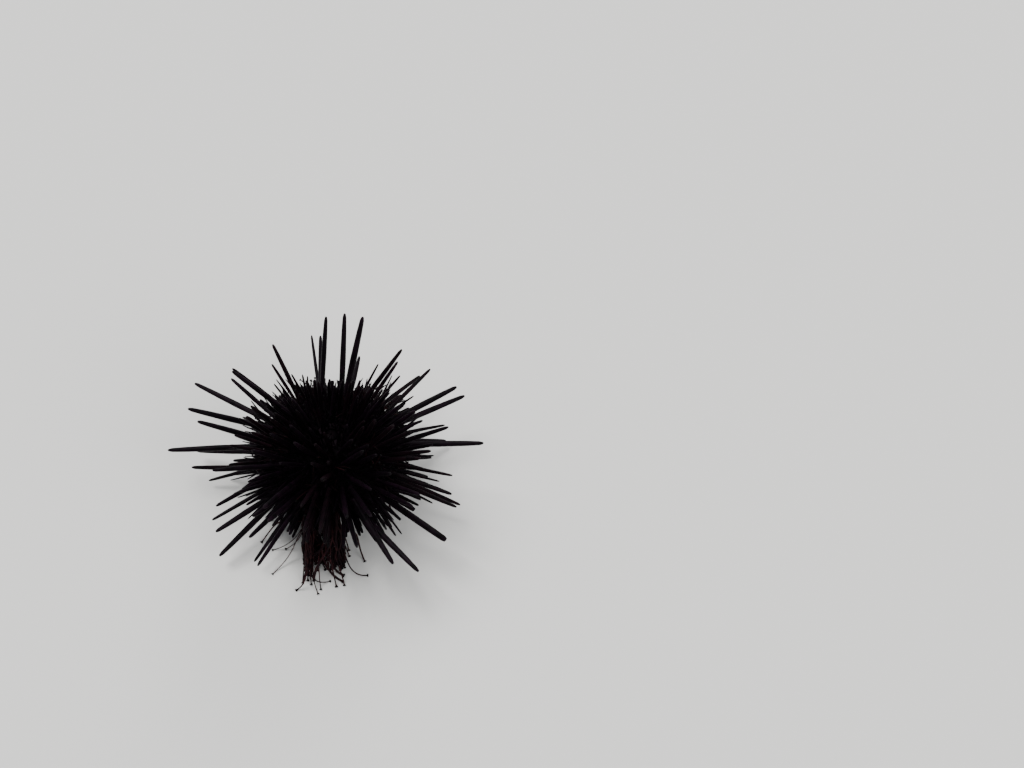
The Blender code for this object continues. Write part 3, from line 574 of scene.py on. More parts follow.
class Look:
    """A material under construction: its tree, its Principled shader and small helpers."""

    def __init__(self, name, roughness, specular, groups=()):
        self.groups = groups
        self.material = bpy.data.materials.new(name)
        self.material.use_nodes = True
        self.tree = self.material.node_tree
        self.shader = self.tree.nodes["Principled BSDF"]
        self.shader.inputs["Roughness"].default_value = roughness
        self.shader.inputs["Specular IOR Level"].default_value = specular

    def node(self, kind, **settings):
        """New node with its settings."""
        made = self.tree.nodes.new(kind)
        for key, value in settings.items():
            setattr(made, key, value)
        return made

    def link(self, source, target):
        """Link, or set a plain value."""
        if isinstance(source, bpy.types.NodeSocket):
            self.tree.links.new(source, target)
        elif isinstance(source, tuple) and target.type == "RGBA":
            target.default_value = (*source, 1.0)
        else:
            target.default_value = source

    def value(self, name):
        """Output of a point attribute."""
        return self.node("ShaderNodeAttribute", attribute_name=name).outputs["Fac"]

    def place(self):
        """Object coordinates."""
        return self.node("ShaderNodeTexCoord").outputs["Object"]

    def math(self, operation, a, b=0.0):
        """Math node on one or two inputs."""
        made = self.node("ShaderNodeMath", operation=operation)
        self.link(a, made.inputs[0])
        self.link(b, made.inputs[1])
        return made.outputs[0]

    def ramp(self, source, low, high):
        """Grey from 0 to 1 as the source goes from low to high, or the other way round."""
        made = self.node("ShaderNodeMapRange", interpolation_type="SMOOTHSTEP")
        self.link(source, made.inputs["Value"])
        self.link(min(low, high), made.inputs["From Min"])
        self.link(max(low, high), made.inputs["From Max"])
        self.link(0.0 if low < high else 1.0, made.inputs["To Min"])
        self.link(1.0 if low < high else 0.0, made.inputs["To Max"])
        return made.outputs["Result"]

    def mix(self, factor, low, high):
        """Colour mix."""
        made = self.node("ShaderNodeMix", data_type="RGBA")
        self.link(factor, made.inputs["Factor"])
        self.link(low, made.inputs[6])
        self.link(high, made.inputs[7])
        return made.outputs[2]

    def group(self, key, vector, scale):
        """Outputs of one of the shared node groups, over a vector at a scale."""
        made = self.node("ShaderNodeGroup", node_tree=self.groups[key])
        self.link(vector, made.inputs["Vector"])
        self.link(scale, made.inputs["Scale"])
        return made.outputs

    def mottle(self, scale):
        """Blotch and Grain of the mottle over Object coordinates."""
        return self.group("mottle", self.place(), scale)

    def granules(self, scale):
        """Height of the granules over Object coordinates."""
        return self.group("granules", self.place(), scale)["Height"]

    def bump(self, height, strength, distance):
        """Bump from a height, into the shader."""
        made = self.node("ShaderNodeBump")
        self.link(strength, made.inputs["Strength"])
        self.link(distance, made.inputs["Distance"])
        self.link(height, made.inputs["Height"])
        self.link(made.outputs["Normal"], self.shader.inputs["Normal"])

    def colour(self, source):
        """Base colour."""
        self.link(source, self.shader.inputs["Base Color"])

    def sheen_break(self, source, smooth, rough):
        """Roughness between two values as the source goes from 0 to 1."""
        made = self.node("ShaderNodeMapRange")
        self.link(source, made.inputs["Value"])
        self.link(smooth, made.inputs["To Min"])
        self.link(rough, made.inputs["To Max"])
        self.link(made.outputs["Result"], self.shader.inputs["Roughness"])


def new_group(name, outputs):
    """Empty node group with a vector and a scale going in, and numbers coming out."""
    tree = bpy.data.node_groups.new(name, "ShaderNodeTree")
    tree.interface.new_socket("Vector", in_out="INPUT", socket_type="NodeSocketVector")
    tree.interface.new_socket("Scale", in_out="INPUT", socket_type="NodeSocketFloat")
    for key in outputs:
        tree.interface.new_socket(key, in_out="OUTPUT", socket_type="NodeSocketFloat")
    return tree, tree.nodes.new("NodeGroupInput"), tree.nodes.new("NodeGroupOutput")


# Mottle: output, how many times finer than its scale, and detail
MOTTLE_LAYERS = (("Blotch", 1.0, 3.0), ("Grain", 7.0, 6.0))
GRANULE_SOFTNESS = 0.35


def make_mottle():
    """Group: soft blotches and fine grain at two scales, each from 0 to 1."""
    tree, given, out = new_group("mottle", [key for key, _, _ in MOTTLE_LAYERS])
    for key, times, detail in MOTTLE_LAYERS:
        noise = tree.nodes.new("ShaderNodeTexNoise")
        size = tree.nodes.new("ShaderNodeMath")
        size.operation = "MULTIPLY"
        size.inputs[1].default_value = times
        noise.inputs["Detail"].default_value = detail
        tree.links.new(given.outputs["Scale"], size.inputs[0])
        tree.links.new(size.outputs[0], noise.inputs["Scale"])
        tree.links.new(given.outputs["Vector"], noise.inputs["Vector"])
        tree.links.new(noise.outputs["Fac"], out.inputs[key])
    return tree


def make_granules():
    """Group: rounded granules, high in their middles and low between."""
    tree, given, out = new_group("granules", ("Height",))
    cells = tree.nodes.new("ShaderNodeTexVoronoi")
    cells.feature = "SMOOTH_F1"
    cells.inputs["Smoothness"].default_value = GRANULE_SOFTNESS
    turn = tree.nodes.new("ShaderNodeMath")
    turn.operation = "SUBTRACT"
    turn.inputs[0].default_value = 1.0
    tree.links.new(given.outputs["Vector"], cells.inputs["Vector"])
    tree.links.new(given.outputs["Scale"], cells.inputs["Scale"])
    tree.links.new(cells.outputs["Distance"], turn.inputs[1])
    tree.links.new(turn.outputs[0], out.inputs["Height"])
    return tree


# Colours, linear
# INK: near black of random blotches and of the suckers, and also painted shade in the membranes' folds and
# the madreporite's pits
INK = (0.0016, 0.0010, 0.0016)
# Painted shade of the test skin, for its grooves and low places
GROOVE_SHADE = (0.0018, 0.0008, 0.0016)
BOSS_PURPLE = (0.0070, 0.0032, 0.0062)
BELT_RED = (0.0060, 0.0018, 0.0032)
STEM_DARK = (0.0050, 0.0018, 0.0026)
STEM_RED = (0.046, 0.0120, 0.0130)
IVORY = (0.74, 0.72, 0.66)
OLD_IVORY = (0.58, 0.50, 0.38)
TOOTH_STAIN = (0.50, 0.44, 0.36)
STALK_DARK = (0.0060, 0.0028, 0.0042)
STALK_PURPLE = (0.0140, 0.0075, 0.0090)
JAW_DARK = (0.0060, 0.0024, 0.0040)
# Spines: dark shaft, warmer shaft and collar
VIOLET_SHAFT = ((0.0022, 0.0011, 0.0023), (0.0064, 0.0022, 0.0054), (0.0085, 0.0038, 0.0068))
RED_SHAFT = ((0.0025, 0.0011, 0.0020), (0.0074, 0.0022, 0.0042), (0.0090, 0.0036, 0.0060))
SHORT_SHAFT = ((0.0022, 0.0011, 0.0024), (0.0066, 0.0026, 0.0058), (0.0070, 0.0034, 0.0058))
# Plates and membranes: darker and lighter
GENITAL_PURPLES = ((0.0030, 0.0014, 0.0024), (0.0080, 0.0038, 0.0064))
OCULAR_PURPLES = ((0.0026, 0.0012, 0.0022), (0.0066, 0.0032, 0.0056))
SIEVE_PURPLES = ((0.0045, 0.0024, 0.0034), (0.0110, 0.0064, 0.0086))
MOUTH_REDS = ((0.0090, 0.0030, 0.0050), (0.030, 0.0115, 0.0140))
VENT_PURPLES = ((0.0024, 0.0012, 0.0020), (0.0060, 0.0028, 0.0044))

# Ridges round a spine, stretch of its grain, and folds of a foot (millimetres apart)
RIDGES = 18.0
STREAKS = (60.0, 5.0, 1.0)
FOOT_FOLD = 0.38
# Shares of the heights and colours that are added
RIDGE_SHARE = 0.4
BELT_SHARE = 0.5
SKIN_GRANULES = 0.6
PLATE_GRAIN = 0.5
PIT_SHARE = 1.5


def spine_look(name, colours, groups):
    """Spine: near-black shaft, redder or bluer by spine, with a duller collar at its root.

    Fine ridges run lengthwise, as a sine round the spine broken up by stretched grain.
    """
    dark, warm, collar = colours
    look = Look(name, roughness=0.45, specular=0.04, groups=groups)
    cloth = look.node("ShaderNodeUVMap", uv_map="lengthwise").outputs["UV"]
    stretch = look.node("ShaderNodeMapping")
    look.link(cloth, stretch.inputs["Vector"])
    stretch.inputs["Scale"].default_value = STREAKS
    streak = look.group("mottle", stretch.outputs["Vector"], scale=1.0)
    blotch = look.mottle(scale=420.0)
    shaft = look.mix(look.value("tone"), dark, warm)
    shaft = look.mix(look.ramp(streak["Blotch"], low=0.40, high=0.80), shaft, warm)
    shaft = look.mix(look.ramp(look.value("along"), low=0.16, high=0.04), shaft, collar)
    look.colour(look.mix(look.ramp(blotch["Blotch"], low=0.62, high=0.30), shaft, INK))
    parts = look.node("ShaderNodeSeparateXYZ")
    look.link(cloth, parts.inputs[0])
    ridges = look.math("SINE", look.math("MULTIPLY", parts.outputs["X"], 2.0 * math.pi * RIDGES))
    height = look.math("ADD", look.math("MULTIPLY", ridges, RIDGE_SHARE), streak["Grain"])
    look.bump(height, strength=0.5, distance=0.00006)
    look.sheen_break(streak["Grain"], smooth=0.30, rough=0.55)
    return look.material


def skin_look(groups):
    """Skin of the test: painted shade makes it near black in the grooves and low places, dark purple on the
    bosses.
    """
    look = Look("test_skin", roughness=0.6, specular=0.02, groups=groups)
    rise, belt = look.value("rise"), look.value("belt")
    mottle = look.mottle(scale=260.0)
    grains = look.granules(scale=2400.0)
    # Painted shade: near black where the relief is low, purple on the raised bosses
    ground = look.mix(look.ramp(rise, low=0.15, high=0.95), GROOVE_SHADE, BOSS_PURPLE)
    ground = look.mix(look.math("MULTIPLY", belt, BELT_SHARE), ground, BELT_RED)
    look.colour(look.mix(look.ramp(mottle["Blotch"], low=0.65, high=0.35), ground, INK))
    height = look.math("ADD", look.math("MULTIPLY", grains, SKIN_GRANULES), mottle["Grain"])
    look.bump(height, strength=0.6, distance=0.00009)
    look.sheen_break(mottle["Grain"], smooth=0.50, rough=0.72)
    return look.material


def foot_look(groups):
    """Tube foot: dark red-purple stem, ringed by its muscle, with a darker sucker."""
    look = Look("tube_foot_flesh", roughness=0.42, specular=0.05, groups=groups)
    mottle = look.mottle(scale=700.0)
    stem = look.mix(look.value("tone"), STEM_DARK, STEM_RED)
    stem = look.mix(look.ramp(mottle["Blotch"], low=0.70, high=0.35), stem, BELT_RED)
    look.colour(look.mix(look.ramp(look.value("along"), low=0.84, high=0.90), stem, INK))
    folds = look.math("MULTIPLY", look.value("millimetres"), 2.0 * math.pi / FOOT_FOLD)
    height = look.math("ADD", look.math("SINE", folds), mottle["Grain"])
    look.bump(height, strength=0.35, distance=0.00004)
    look.sheen_break(mottle["Grain"], smooth=0.32, rough=0.58)
    return look.material


def plate_look(name, colours, groups, grain_scale, pit_scale=0.0):
    """Apical plate: granules over mottled purple, with fine pits where a pit scale is given, painted near
    black as the shade inside them.
    """
    look = Look(name, roughness=0.6, specular=0.03, groups=groups)
    mottle = look.mottle(scale=500.0)
    grains = look.granules(grain_scale)
    base = look.mix(mottle["Blotch"], *colours)
    height = look.math("ADD", grains, look.math("MULTIPLY", mottle["Grain"], PLATE_GRAIN))
    if pit_scale:
        # Painted shade: the pits are painted near black and sunk by bump
        shaded_pits = look.ramp(look.granules(pit_scale), low=0.60, high=0.82)
        base = look.mix(shaded_pits, base, INK)
        height = look.math("SUBTRACT", height, look.math("MULTIPLY", shaded_pits, PIT_SHARE))
    look.colour(base)
    look.bump(height, strength=0.7, distance=0.00010)
    look.sheen_break(mottle["Grain"], smooth=0.48, rough=0.72)
    return look.material


def membrane_look(name, colours, groups):
    """Leathery skin of the mouth or the vent, wrinkled, with painted shade that darkens it in its folds and
    hollows.
    """
    look = Look(name, roughness=0.5, specular=0.03, groups=groups)
    mottle = look.mottle(scale=600.0)
    ground = look.mix(mottle["Blotch"], *colours)
    # Painted shade: near black where the rise is low, in the hollows of the folds
    look.colour(look.mix(look.ramp(look.value("rise"), low=0.70, high=0.20), ground, INK))
    look.bump(look.math("ADD", mottle["Grain"], mottle["Blotch"]), strength=0.6, distance=0.00012)
    look.sheen_break(mottle["Grain"], smooth=0.38, rough=0.64)
    return look.material


def tooth_look(groups):
    """Tooth: off-white with faint blotches, yellower towards its root."""
    look = Look("tooth_calcite", roughness=0.28, specular=0.5, groups=groups)
    mottle = look.mottle(scale=900.0)
    ivory = look.mix(look.ramp(look.value("along"), low=0.70, high=0.10), IVORY, OLD_IVORY)
    look.colour(look.mix(look.ramp(mottle["Blotch"], low=0.75, high=0.40), ivory, TOOTH_STAIN))
    look.bump(mottle["Grain"], strength=0.3, distance=0.00004)
    look.sheen_break(mottle["Grain"], smooth=0.22, rough=0.38)
    return look.material


def pincer_look(groups):
    """Pincer: dull purple stalk with a darker head."""
    look = Look("pincer", roughness=0.5, specular=0.03, groups=groups)
    mottle = look.mottle(scale=900.0)
    stalk = look.mix(mottle["Blotch"], STALK_DARK, STALK_PURPLE)
    look.colour(look.mix(look.ramp(look.value("along"), low=0.55, high=0.70), stalk, JAW_DARK))
    look.bump(mottle["Grain"], strength=0.4, distance=0.00005)
    look.sheen_break(mottle["Grain"], smooth=0.40, rough=0.60)
    return look.material


def make_looks():
    """All materials, sharing two node groups."""
    groups = {"mottle": make_mottle(), "granules": make_granules()}
    return {
        "interambulacrum_spine": spine_look("spine_violet_black", VIOLET_SHAFT, groups),
        "ambulacrum_spine": spine_look("spine_red_black", RED_SHAFT, groups),
        "short_spine": spine_look("short_spine_purple", SHORT_SHAFT, groups),
        "skin": skin_look(groups),
        "foot": foot_look(groups),
        "genital": plate_look("genital_plate", GENITAL_PURPLES, groups, grain_scale=2600.0),
        "ocular": plate_look("ocular_plate", OCULAR_PURPLES, groups, grain_scale=2900.0),
        "sieve": plate_look("madreporite_sieve", SIEVE_PURPLES, groups, grain_scale=2200.0,
                            pit_scale=5200.0),
        "mouth": membrane_look("mouth_membrane", MOUTH_REDS, groups),
        "vent": membrane_look("vent_membrane", VENT_PURPLES, groups),
        "tooth": tooth_look(groups),
        "pincer": pincer_look(groups),
    }


# ---------------------------------------------------------------- test skin

SKIN_COLUMNS = 480
SKIN_ROWS = 150
SKIN_INSET = 0.00012
BOSS_RADIUS = 0.00135
BOSS_HEIGHT = 0.00034
BOSS_POWER = 1.3
KNOB_RADIUS = 0.00055
KNOB_HEIGHT = 0.00040
PLATE_RELIEF = 0.00012
LEVEL_SEAM_POWER = 6
UPRIGHT_SEAM_POWER = 8
PORE_RELIEF = 0.00005
PORES_PER_PLATE = 5.0
PORES_FROM = 0.55
PORES_FADE = 0.2
RELIEF_FULL = 0.0008
EDGE_SHARE = 0.02
LIP_STEP = 0.0001
LIP_DROP = 0.0003


def nearest_root(points, roots):
    """Distance from each point to its nearest root, and that root's number."""
    flat = points.reshape(-1, 3).astype(np.float32)
    best = np.full(len(flat), np.inf, np.float32)
    which = np.zeros(len(flat), int)
    for i, root in enumerate(roots.astype(np.float32)):
        apart = np.einsum("ij,ij->i", flat - root, flat - root)
        closer = apart < best
        best[closer] = apart[closer]
        which[closer] = i
    return np.sqrt(best).reshape(points.shape[:-1]), which.reshape(points.shape[:-1])


def sector_place(bearings):
    """For each bearing: 1 in an ambulacrum, else 0, and the place across its sector, -1 to 1."""
    turn = (bearings - FIRST_AMBULACRUM + AMBULACRUM_HALF) % PAIR_ANGLE
    in_belt = turn < 2.0 * AMBULACRUM_HALF
    across = np.where(in_belt, turn / AMBULACRUM_HALF - 1.0,
                      (turn - 2.0 * AMBULACRUM_HALF) / INTERAMBULACRUM_HALF - 1.0)
    return in_belt.astype(float), across


def plate_relief(shares, belt, across):
    """Height of the plates: each is puffed up between its sutures.

    The sutures run up the sector's middle and sides, and across it once a row, staggered
    by half a row between the two columns.
    """
    rows = np.where(belt > 0.5, AMB_ROWS, INTER_ROWS)
    step = (shares * rows - ZIGZAG * np.sign(across)) % 1.0
    level = np.abs(2.0 * step - 1.0) ** LEVEL_SEAM_POWER
    upright = np.abs(2.0 * np.abs(across) - 1.0) ** UPRIGHT_SEAM_POWER
    return PLATE_RELIEF * (1.0 - np.maximum(level, upright))


def make_test_skin(roots, looks):
    """One skin over the ten sectors, with plates, tubercles and pore zones in relief.

    A grid of bearing by share, pushed out along the normal by the plates' relief, by a
    low cone round each tubercle, by the small knob on its top and by the fine waves of the
    pore pairs. It turns in over the mouth and the apical ring and closes on the axis.
    """
    bearings = np.arange(SKIN_COLUMNS) * 360.0 / SKIN_COLUMNS
    shares = np.linspace(0.0, 1.0, SKIN_ROWS)[:, None]
    belt, across = sector_place(np.broadcast_to(bearings, (SKIN_ROWS, SKIN_COLUMNS)))
    points = surface_point(shares, bearings)
    normals = surface_normal(np.clip(shares, SLOPE_STEP, 1.0 - SLOPE_STEP), bearings)
    away, _ = nearest_root(points, np.array([r[3] for r in roots]))
    boss = BOSS_HEIGHT * np.clip(1.0 - away / BOSS_RADIUS, 0.0, 1.0) ** BOSS_POWER
    knob = KNOB_HEIGHT * np.clip(1.0 - (away / KNOB_RADIUS) ** 2, 0.0, 1.0)
    waves = np.cos(shares * AMB_ROWS * PORES_PER_PLATE * 2.0 * math.pi)
    pores = PORE_RELIEF * waves * np.clip((np.abs(across) - PORES_FROM) / PORES_FADE, 0.0, 1.0) * belt
    rise = plate_relief(shares, belt, across) * np.minimum(1.0, away / BOSS_RADIUS) + boss + knob + pores
    edge = np.clip(np.minimum(shares, 1.0 - shares) / EDGE_SHARE, 0.0, 1.0)
    rings = points + normals * (rise * edge - SKIN_INSET)[..., None]
    low, high = profile_at(0.0)[1], profile_at(1.0)[1]
    roof, floor = low + PLATE_DEPTH, high - PLATE_DEPTH
    before = [(PERISTOME_RADIUS * 0.5, roof), (PERISTOME_RADIUS - LIP_STEP, roof),
              (PERISTOME_RADIUS, low + LIP_DROP)]
    after = [(APICAL_RADIUS, high - LIP_DROP), (APICAL_RADIUS - LIP_STEP, floor),
             (APICAL_RADIUS * 0.5, floor)]
    lips = [np.array([around_axis(r, bearings, z) for r, z in side]) for side in (before, after)]
    rings = np.concatenate((lips[0], rings, lips[1]))[None]
    poles = around_axis(np.zeros((1, 2)), 0.0, np.array([[roof, floor]]))
    pad = ((len(before), len(after)), (0, 0))
    # rise is the relief, from which the skin's look paints shade into the low places
    values = {"rise": np.pad(rise / RELIEF_FULL, pad)[None],
              "belt": np.pad(belt, pad, mode="edge")[None]}
    add_piece("test_skin", rings, poles, {"OFBake": whole}, values, looks["skin"],
              [name for name, _, _ in sectors()])


# ---------------------------------------------------------------- primary spines

SPINE_SIDES = 8
BLUNT_BEARINGS = (315.0, 325.0)
BLUNT_REACH = 0.030
BLUNT_TONE = 0.84
SPINE_STOUTER = (0.94, 1.04)
ROOT_LIFT = 0.00022
# Distance from the root and radius, both in root radii, then the shaft's rings
SPINE_ROOT = np.array(((0.0, 0.68), (0.80, 0.92), (1.12, 1.16), (1.60, 0.93)))
SPINE_SHAFT = np.array((0.48, 0.80, 0.95, 0.99))
POINTED_TAPER = np.array((1.06, 0.88, 0.69, 0.40))
BLUNT_TAPER = np.array((1.02, 0.98, 0.90, 0.66))


def spine_profile(lengths, base, blunt):
    """Distances along the spines and their radii there, ring by ring.

    From the root: the hollow base, the milled ring and a narrow neck, counted in root
    radii, then the shaft in shares of what is left, tapering to a point or a blunt end.
    """
    start = base[:, None] * SPINE_ROOT[:, 0]
    rest = start[:, -1:] + (lengths[:, None] - start[:, -1:]) * SPINE_SHAFT
    taper = np.where(blunt[:, None], BLUNT_TAPER, POINTED_TAPER)
    radii = base[:, None] * np.concatenate((np.tile(SPINE_ROOT[:, 1], (len(base), 1)), taper), axis=1)
    return np.concatenate((start, rest), axis=1), radii


def make_primary_spines(roots, spines, looks):
    """The primary spines, one piece for each sector."""
    rng = np.random.default_rng(RULE_SEED + 1)
    tones = rng.uniform(0.0, 1.0, len(spines))
    swells = rng.uniform(*SPINE_STOUTER, len(spines))
    first, last = BLUNT_BEARINGS
    for name, _, _ in sectors():
        own = np.array([n for n, s in enumerate(spines) if roots[s[0]][0] == name])
        normals = np.array([roots[spines[n][0]][4] for n in own])
        begin = np.array([spines[n][1] for n in own]) + ROOT_LIFT * normals
        end = np.array([spines[n][2] for n in own])
        base = np.array([spines[n][3][0] for n in own]) * swells[own]
        run = end - begin
        lengths = np.linalg.norm(run, axis=1)
        side, reach = plane_reach(end)
        chosen = np.where(reach > BLUNT_REACH, (side % 360.0 > first) & (side % 360.0 < last),
                          tones[own] > BLUNT_TONE)
        blunt = chosen | (end[:, 2] < LIFT_OFF_FLOOR / 2.0)
        travelled, radii = spine_profile(lengths, base, blunt)
        paths = begin[:, None] + travelled[..., None] * (run / lengths[:, None])[:, None]
        rings = swept_rings(paths, radii, SPINE_SIDES)
        rings[..., 2] = np.maximum(rings[..., 2], 0.0)
        poles = np.stack((begin, end), axis=1)
        values = {"along": (travelled / lengths[:, None])[..., None], "tone": tones[own][:, None, None]}
        layouts = {"OFBake": strips(len(own)), "lengthwise": lengthwise}
        sector = name.split("_")[0]
        add_piece(f"{name}_spines", rings, poles, layouts, values, looks[f"{sector}_spine"])


# ---------------------------------------------------------------- short spines

SHORT_SPACING = 0.00112
SHORT_OFF_ROOT = 0.00105
SHORT_SEED = 7
SECONDARY_SHARE = 0.30
SHORT_OUTWARD = 0.3
SHORT_LEAN = 0.35
SHORT_SCATTER = 0.14
SHORT_MIDDLE = (0.12, 0.78)
# Least length, and the most that a sine from the mouth to the top adds to it
SECONDARY_LENGTH = (0.0032, 0.0056)
MILIARY_LENGTH = (0.0015, 0.0015)
SHORT_LENGTHS = (0.80, 1.15)
SHORT_LENGTHS_MORE = 0.55
SHORT_LONGER_POWER = 3
SHORT_WIDTHS = (0.9, 1.1)
SHORT_WIDTHS_MORE = 0.35
SHORT_TAPER = (1.0, 0.5)
SHORT_LEAST = 0.0008
SHORT_LIFT = 0.0006
SHORT_CLEARANCE = 0.00004
SHORT_HIDDEN = 0.90
SHORT_SHOWING = 0.22
SHORT_SHOWING_POWER = 4
SHORT_BESIDE = 1.5
SHORTER_TRIES = 5
SHORTER_BY = 0.75
SECONDARY_RADIUS = 0.00029
MILIARY_RADIUS = 0.00018
# Share of the length, and share of the radius
SECONDARY_STEPS = np.array(((0.0, 0.8), (0.07, 1.30), (0.15, 0.95), (0.62, 0.90), (0.95, 0.50)))
MILIARY_STEPS = np.array(((0.0, 0.9), (0.20, 1.15), (0.75, 0.85), (0.96, 0.45)))
CROWN_SPINES = 46
CROWN_RADII = (0.0023, 0.0043)
CROWN_SCATTER = (-0.3, 0.3)
PLACE_SCATTER = (-0.25, 0.25)
PLACE_SHARES = (0.006, 0.994)


def skin_places(spacing, seed):
    """Shares and bearings in staggered rows over the test, a spacing apart, a little scattered."""
    rng = np.random.default_rng(seed)
    rows = int(PROFILE_LENGTH / spacing)
    places = []
    for row in range(rows):
        share = (row + 0.5) / rows
        count = int(2.0 * math.pi * profile_at(share)[0] / spacing)
        bearing = (np.arange(count) + 0.5 * (row % 2)) * 360.0 / count
        places.append(np.stack((np.full(count, share), bearing), axis=1))
    places = np.concatenate(places)
    wide = profile_at(places[:, 0])[0]
    places[:, 0] += rng.uniform(*PLACE_SCATTER, len(places)) * spacing / PROFILE_LENGTH
    places[:, 1] += rng.uniform(*PLACE_SCATTER, len(places)) * np.degrees(spacing / wide)
    places[:, 0] = np.clip(places[:, 0], *PLACE_SHARES)
    return places


def crown_places(rng):
    """Points, shares and bearings of the few spines that stand on the apical plates."""
    bearings = (np.arange(CROWN_SPINES) + rng.uniform(*CROWN_SCATTER, CROWN_SPINES)) * 360.0 / CROWN_SPINES
    radii = rng.uniform(*CROWN_RADII, CROWN_SPINES)
    return around_axis(radii, bearings, apical_height(radii)), np.ones(CROWN_SPINES), bearings


def make_short_spines(roots, rods, looks):
    """Secondary spines in the gaps between the primaries, and miliary spines under them.

    Both are short rods with a milled ring and a rounded end. They stand off the test and
    lean away from the nearest tubercle. One that would touch a primary or a tube foot, or
    show beyond the top of the mass, is shortened, and one that still does is left out.
    """
    rng = np.random.default_rng(SHORT_SEED)
    places = skin_places(SHORT_SPACING, SHORT_SEED)
    root_points = np.array([r[3] for r in roots])
    points, normals = on_test(*places.T)
    crown, crown_shares, crown_bearings = crown_places(rng)
    points = np.concatenate((points, crown))
    normals = np.concatenate((normals, unit(crown - MIDDLE)))
    shares = np.concatenate((places[:, 0], crown_shares))
    bearings = np.concatenate((places[:, 1], crown_bearings))
    away, which = nearest_root(points, root_points)
    lean = points - root_points[which]
    lean = unit(lean - np.sum(lean * normals, axis=1, keepdims=True) * normals)
    outward = unit(points - MIDDLE)
    scatter = SHORT_SCATTER * rng.normal(size=points.shape)
    aims = unit(normals + SHORT_OUTWARD * outward + SHORT_LEAN * lean + scatter)
    second = rng.uniform(size=len(points)) < SECONDARY_SHARE
    middle = np.sin(np.pi * (SHORT_MIDDLE[0] + SHORT_MIDDLE[1] * shares))
    least, more = np.where(second[:, None], SECONDARY_LENGTH, MILIARY_LENGTH).T
    lengths = least + more * middle
    longer = np.where(second, rng.uniform(size=len(points)) ** SHORT_LONGER_POWER, 0.0)
    lengths *= rng.uniform(*SHORT_LENGTHS, len(points)) + SHORT_LENGTHS_MORE * longer
    widths = np.where(second, SECONDARY_RADIUS, MILIARY_RADIUS) * rng.uniform(*SHORT_WIDTHS, len(points))
    widths *= 1.0 + SHORT_WIDTHS_MORE * longer
    below = np.minimum(aims[:, 2], -1e-6)
    lengths = np.minimum(lengths, np.where(aims[:, 2] < 0.0, (SHORT_LIFT - points[:, 2]) / below, 1.0))
    radii = widths[:, None] * SHORT_TAPER
    hidden = SHORT_HIDDEN + SHORT_SHOWING * rng.uniform(size=len(points)) ** SHORT_SHOWING_POWER
    clear = np.zeros(len(points), bool)
    for _ in range(SHORTER_TRIES):
        lengths[~clear] *= SHORTER_BY
        tips = points[~clear] + aims[~clear] * (lengths[~clear] / SHORTER_BY)[:, None]
        side, reach = plane_reach(tips)
        free = rod_gaps(points[~clear], tips, radii[~clear], rods) > SHORT_CLEARANCE
        beside = 1.0 + SHORT_BESIDE * (1.0 - np.sin(np.radians(side)))
        clear[~clear] = free & (reach < hidden[~clear] * beside * widest_reach(side))
    lengths /= SHORTER_BY
    clear &= (away > SHORT_OFF_ROOT) & (lengths > SHORT_LEAST)
    made = []
    for name, chosen, steps, sides in (("secondary_spines", clear & second, SECONDARY_STEPS, 6),
                                       ("miliary_spines", clear & ~second, MILIARY_STEPS, 5)):
        start, aim, long = points[chosen], aims[chosen], lengths[chosen]
        paths = start[:, None] + (long[:, None] * steps[:, 0])[..., None] * aim[:, None]
        paths[:, 0] -= SKIN_INSET * normals[chosen]
        rings = swept_rings(paths, widths[chosen][:, None] * steps[:, 1], sides)
        poles = np.stack((paths[:, 0], start + long[:, None] * aim), axis=1)
        values = {"along": steps[None, :, :1], "tone": rng.uniform(size=(len(long), 1, 1))}
        layouts = {"OFBake": patches(shares[chosen], bearings[chosen]), "lengthwise": lengthwise}
        add_piece(name, rings, poles, layouts, values, looks["short_spine"])
        made += list(zip(start, poles[:, 1], radii[chosen]))
    return made


# ---------------------------------------------------------------- tube feet

# Long front feet: bearings and reaches (millimetres) in the pose plane of the points where
# each leaves the mass of spines, is half way and ends in its sucker on the floor, and the
# radius of its stem (millimetres).
POSED_FEET = (
    (260.4, 32.5, 261.8, 40.5, 264.9, 45.8, 0.20), (262.6, 32.3, 264.7, 40.5, 265.8, 44.3, 0.20),
    (256.0, 34.3, 262.0, 41.6, 269.8, 41.4, 0.18), (263.5, 30.9, 269.0, 38.1, 275.4, 41.8, 0.42),
    (265.7, 30.2, 271.0, 37.0, 276.1, 39.9, 0.42), (268.9, 33.3, 271.5, 40.2, 272.3, 43.3, 0.26),
    (271.1, 32.0, 274.9, 39.0, 275.7, 43.1, 0.25), (287.8, 27.2, 286.6, 32.5, 287.2, 36.9, 0.30),
    (277.3, 30.4, 280.0, 38.8, 286.7, 41.3, 0.24), (278.5, 25.9, 279.8, 29.3, 280.4, 32.2, 0.22),
    (276.8, 27.1, 278.9, 31.1, 280.1, 34.1, 0.22), (257.0, 35.5, 258.7, 42.6, 255.8, 45.8, 0.24),
    (256.0, 34.3, 256.9, 38.8, 257.8, 43.1, 0.22), (257.5, 34.1, 258.8, 38.5, 259.8, 42.0, 0.22),
    (259.1, 33.9, 260.1, 39.0, 261.6, 43.1, 0.22), (248.3, 30.3, 247.9, 36.2, 244.3, 43.6, 0.17),
    (248.4, 27.9, 244.9, 32.6, 239.1, 36.7, 0.15), (250.0, 29.0, 247.7, 32.2, 244.9, 34.4, 0.15),
    (232.5, 28.0, 232.2, 32.6, 232.5, 36.7, 0.26),
)
PORE_COLUMN = 0.74
PORE_SHARES = np.arange(0.14, 0.42, 0.02)
POSED_HEIGHT = 0.0075
POSED_DROP = 1.6
POSED_STEPS = 7
POSED_LEAVE = 0.25
POSED_LOWEST = 0.00022
POSED_SETTLE = 0.2
# Radius of a sucker: a fixed part, and a share of the stem's radius
POSED_SUCKERS = (0.00036, 0.8)
POSED_SIDES = 10
POSED_TONES = (0.35, 0.95)
FOOT_RINGS = 30
FOOT_COLUMNS = (0.35, 1.0)
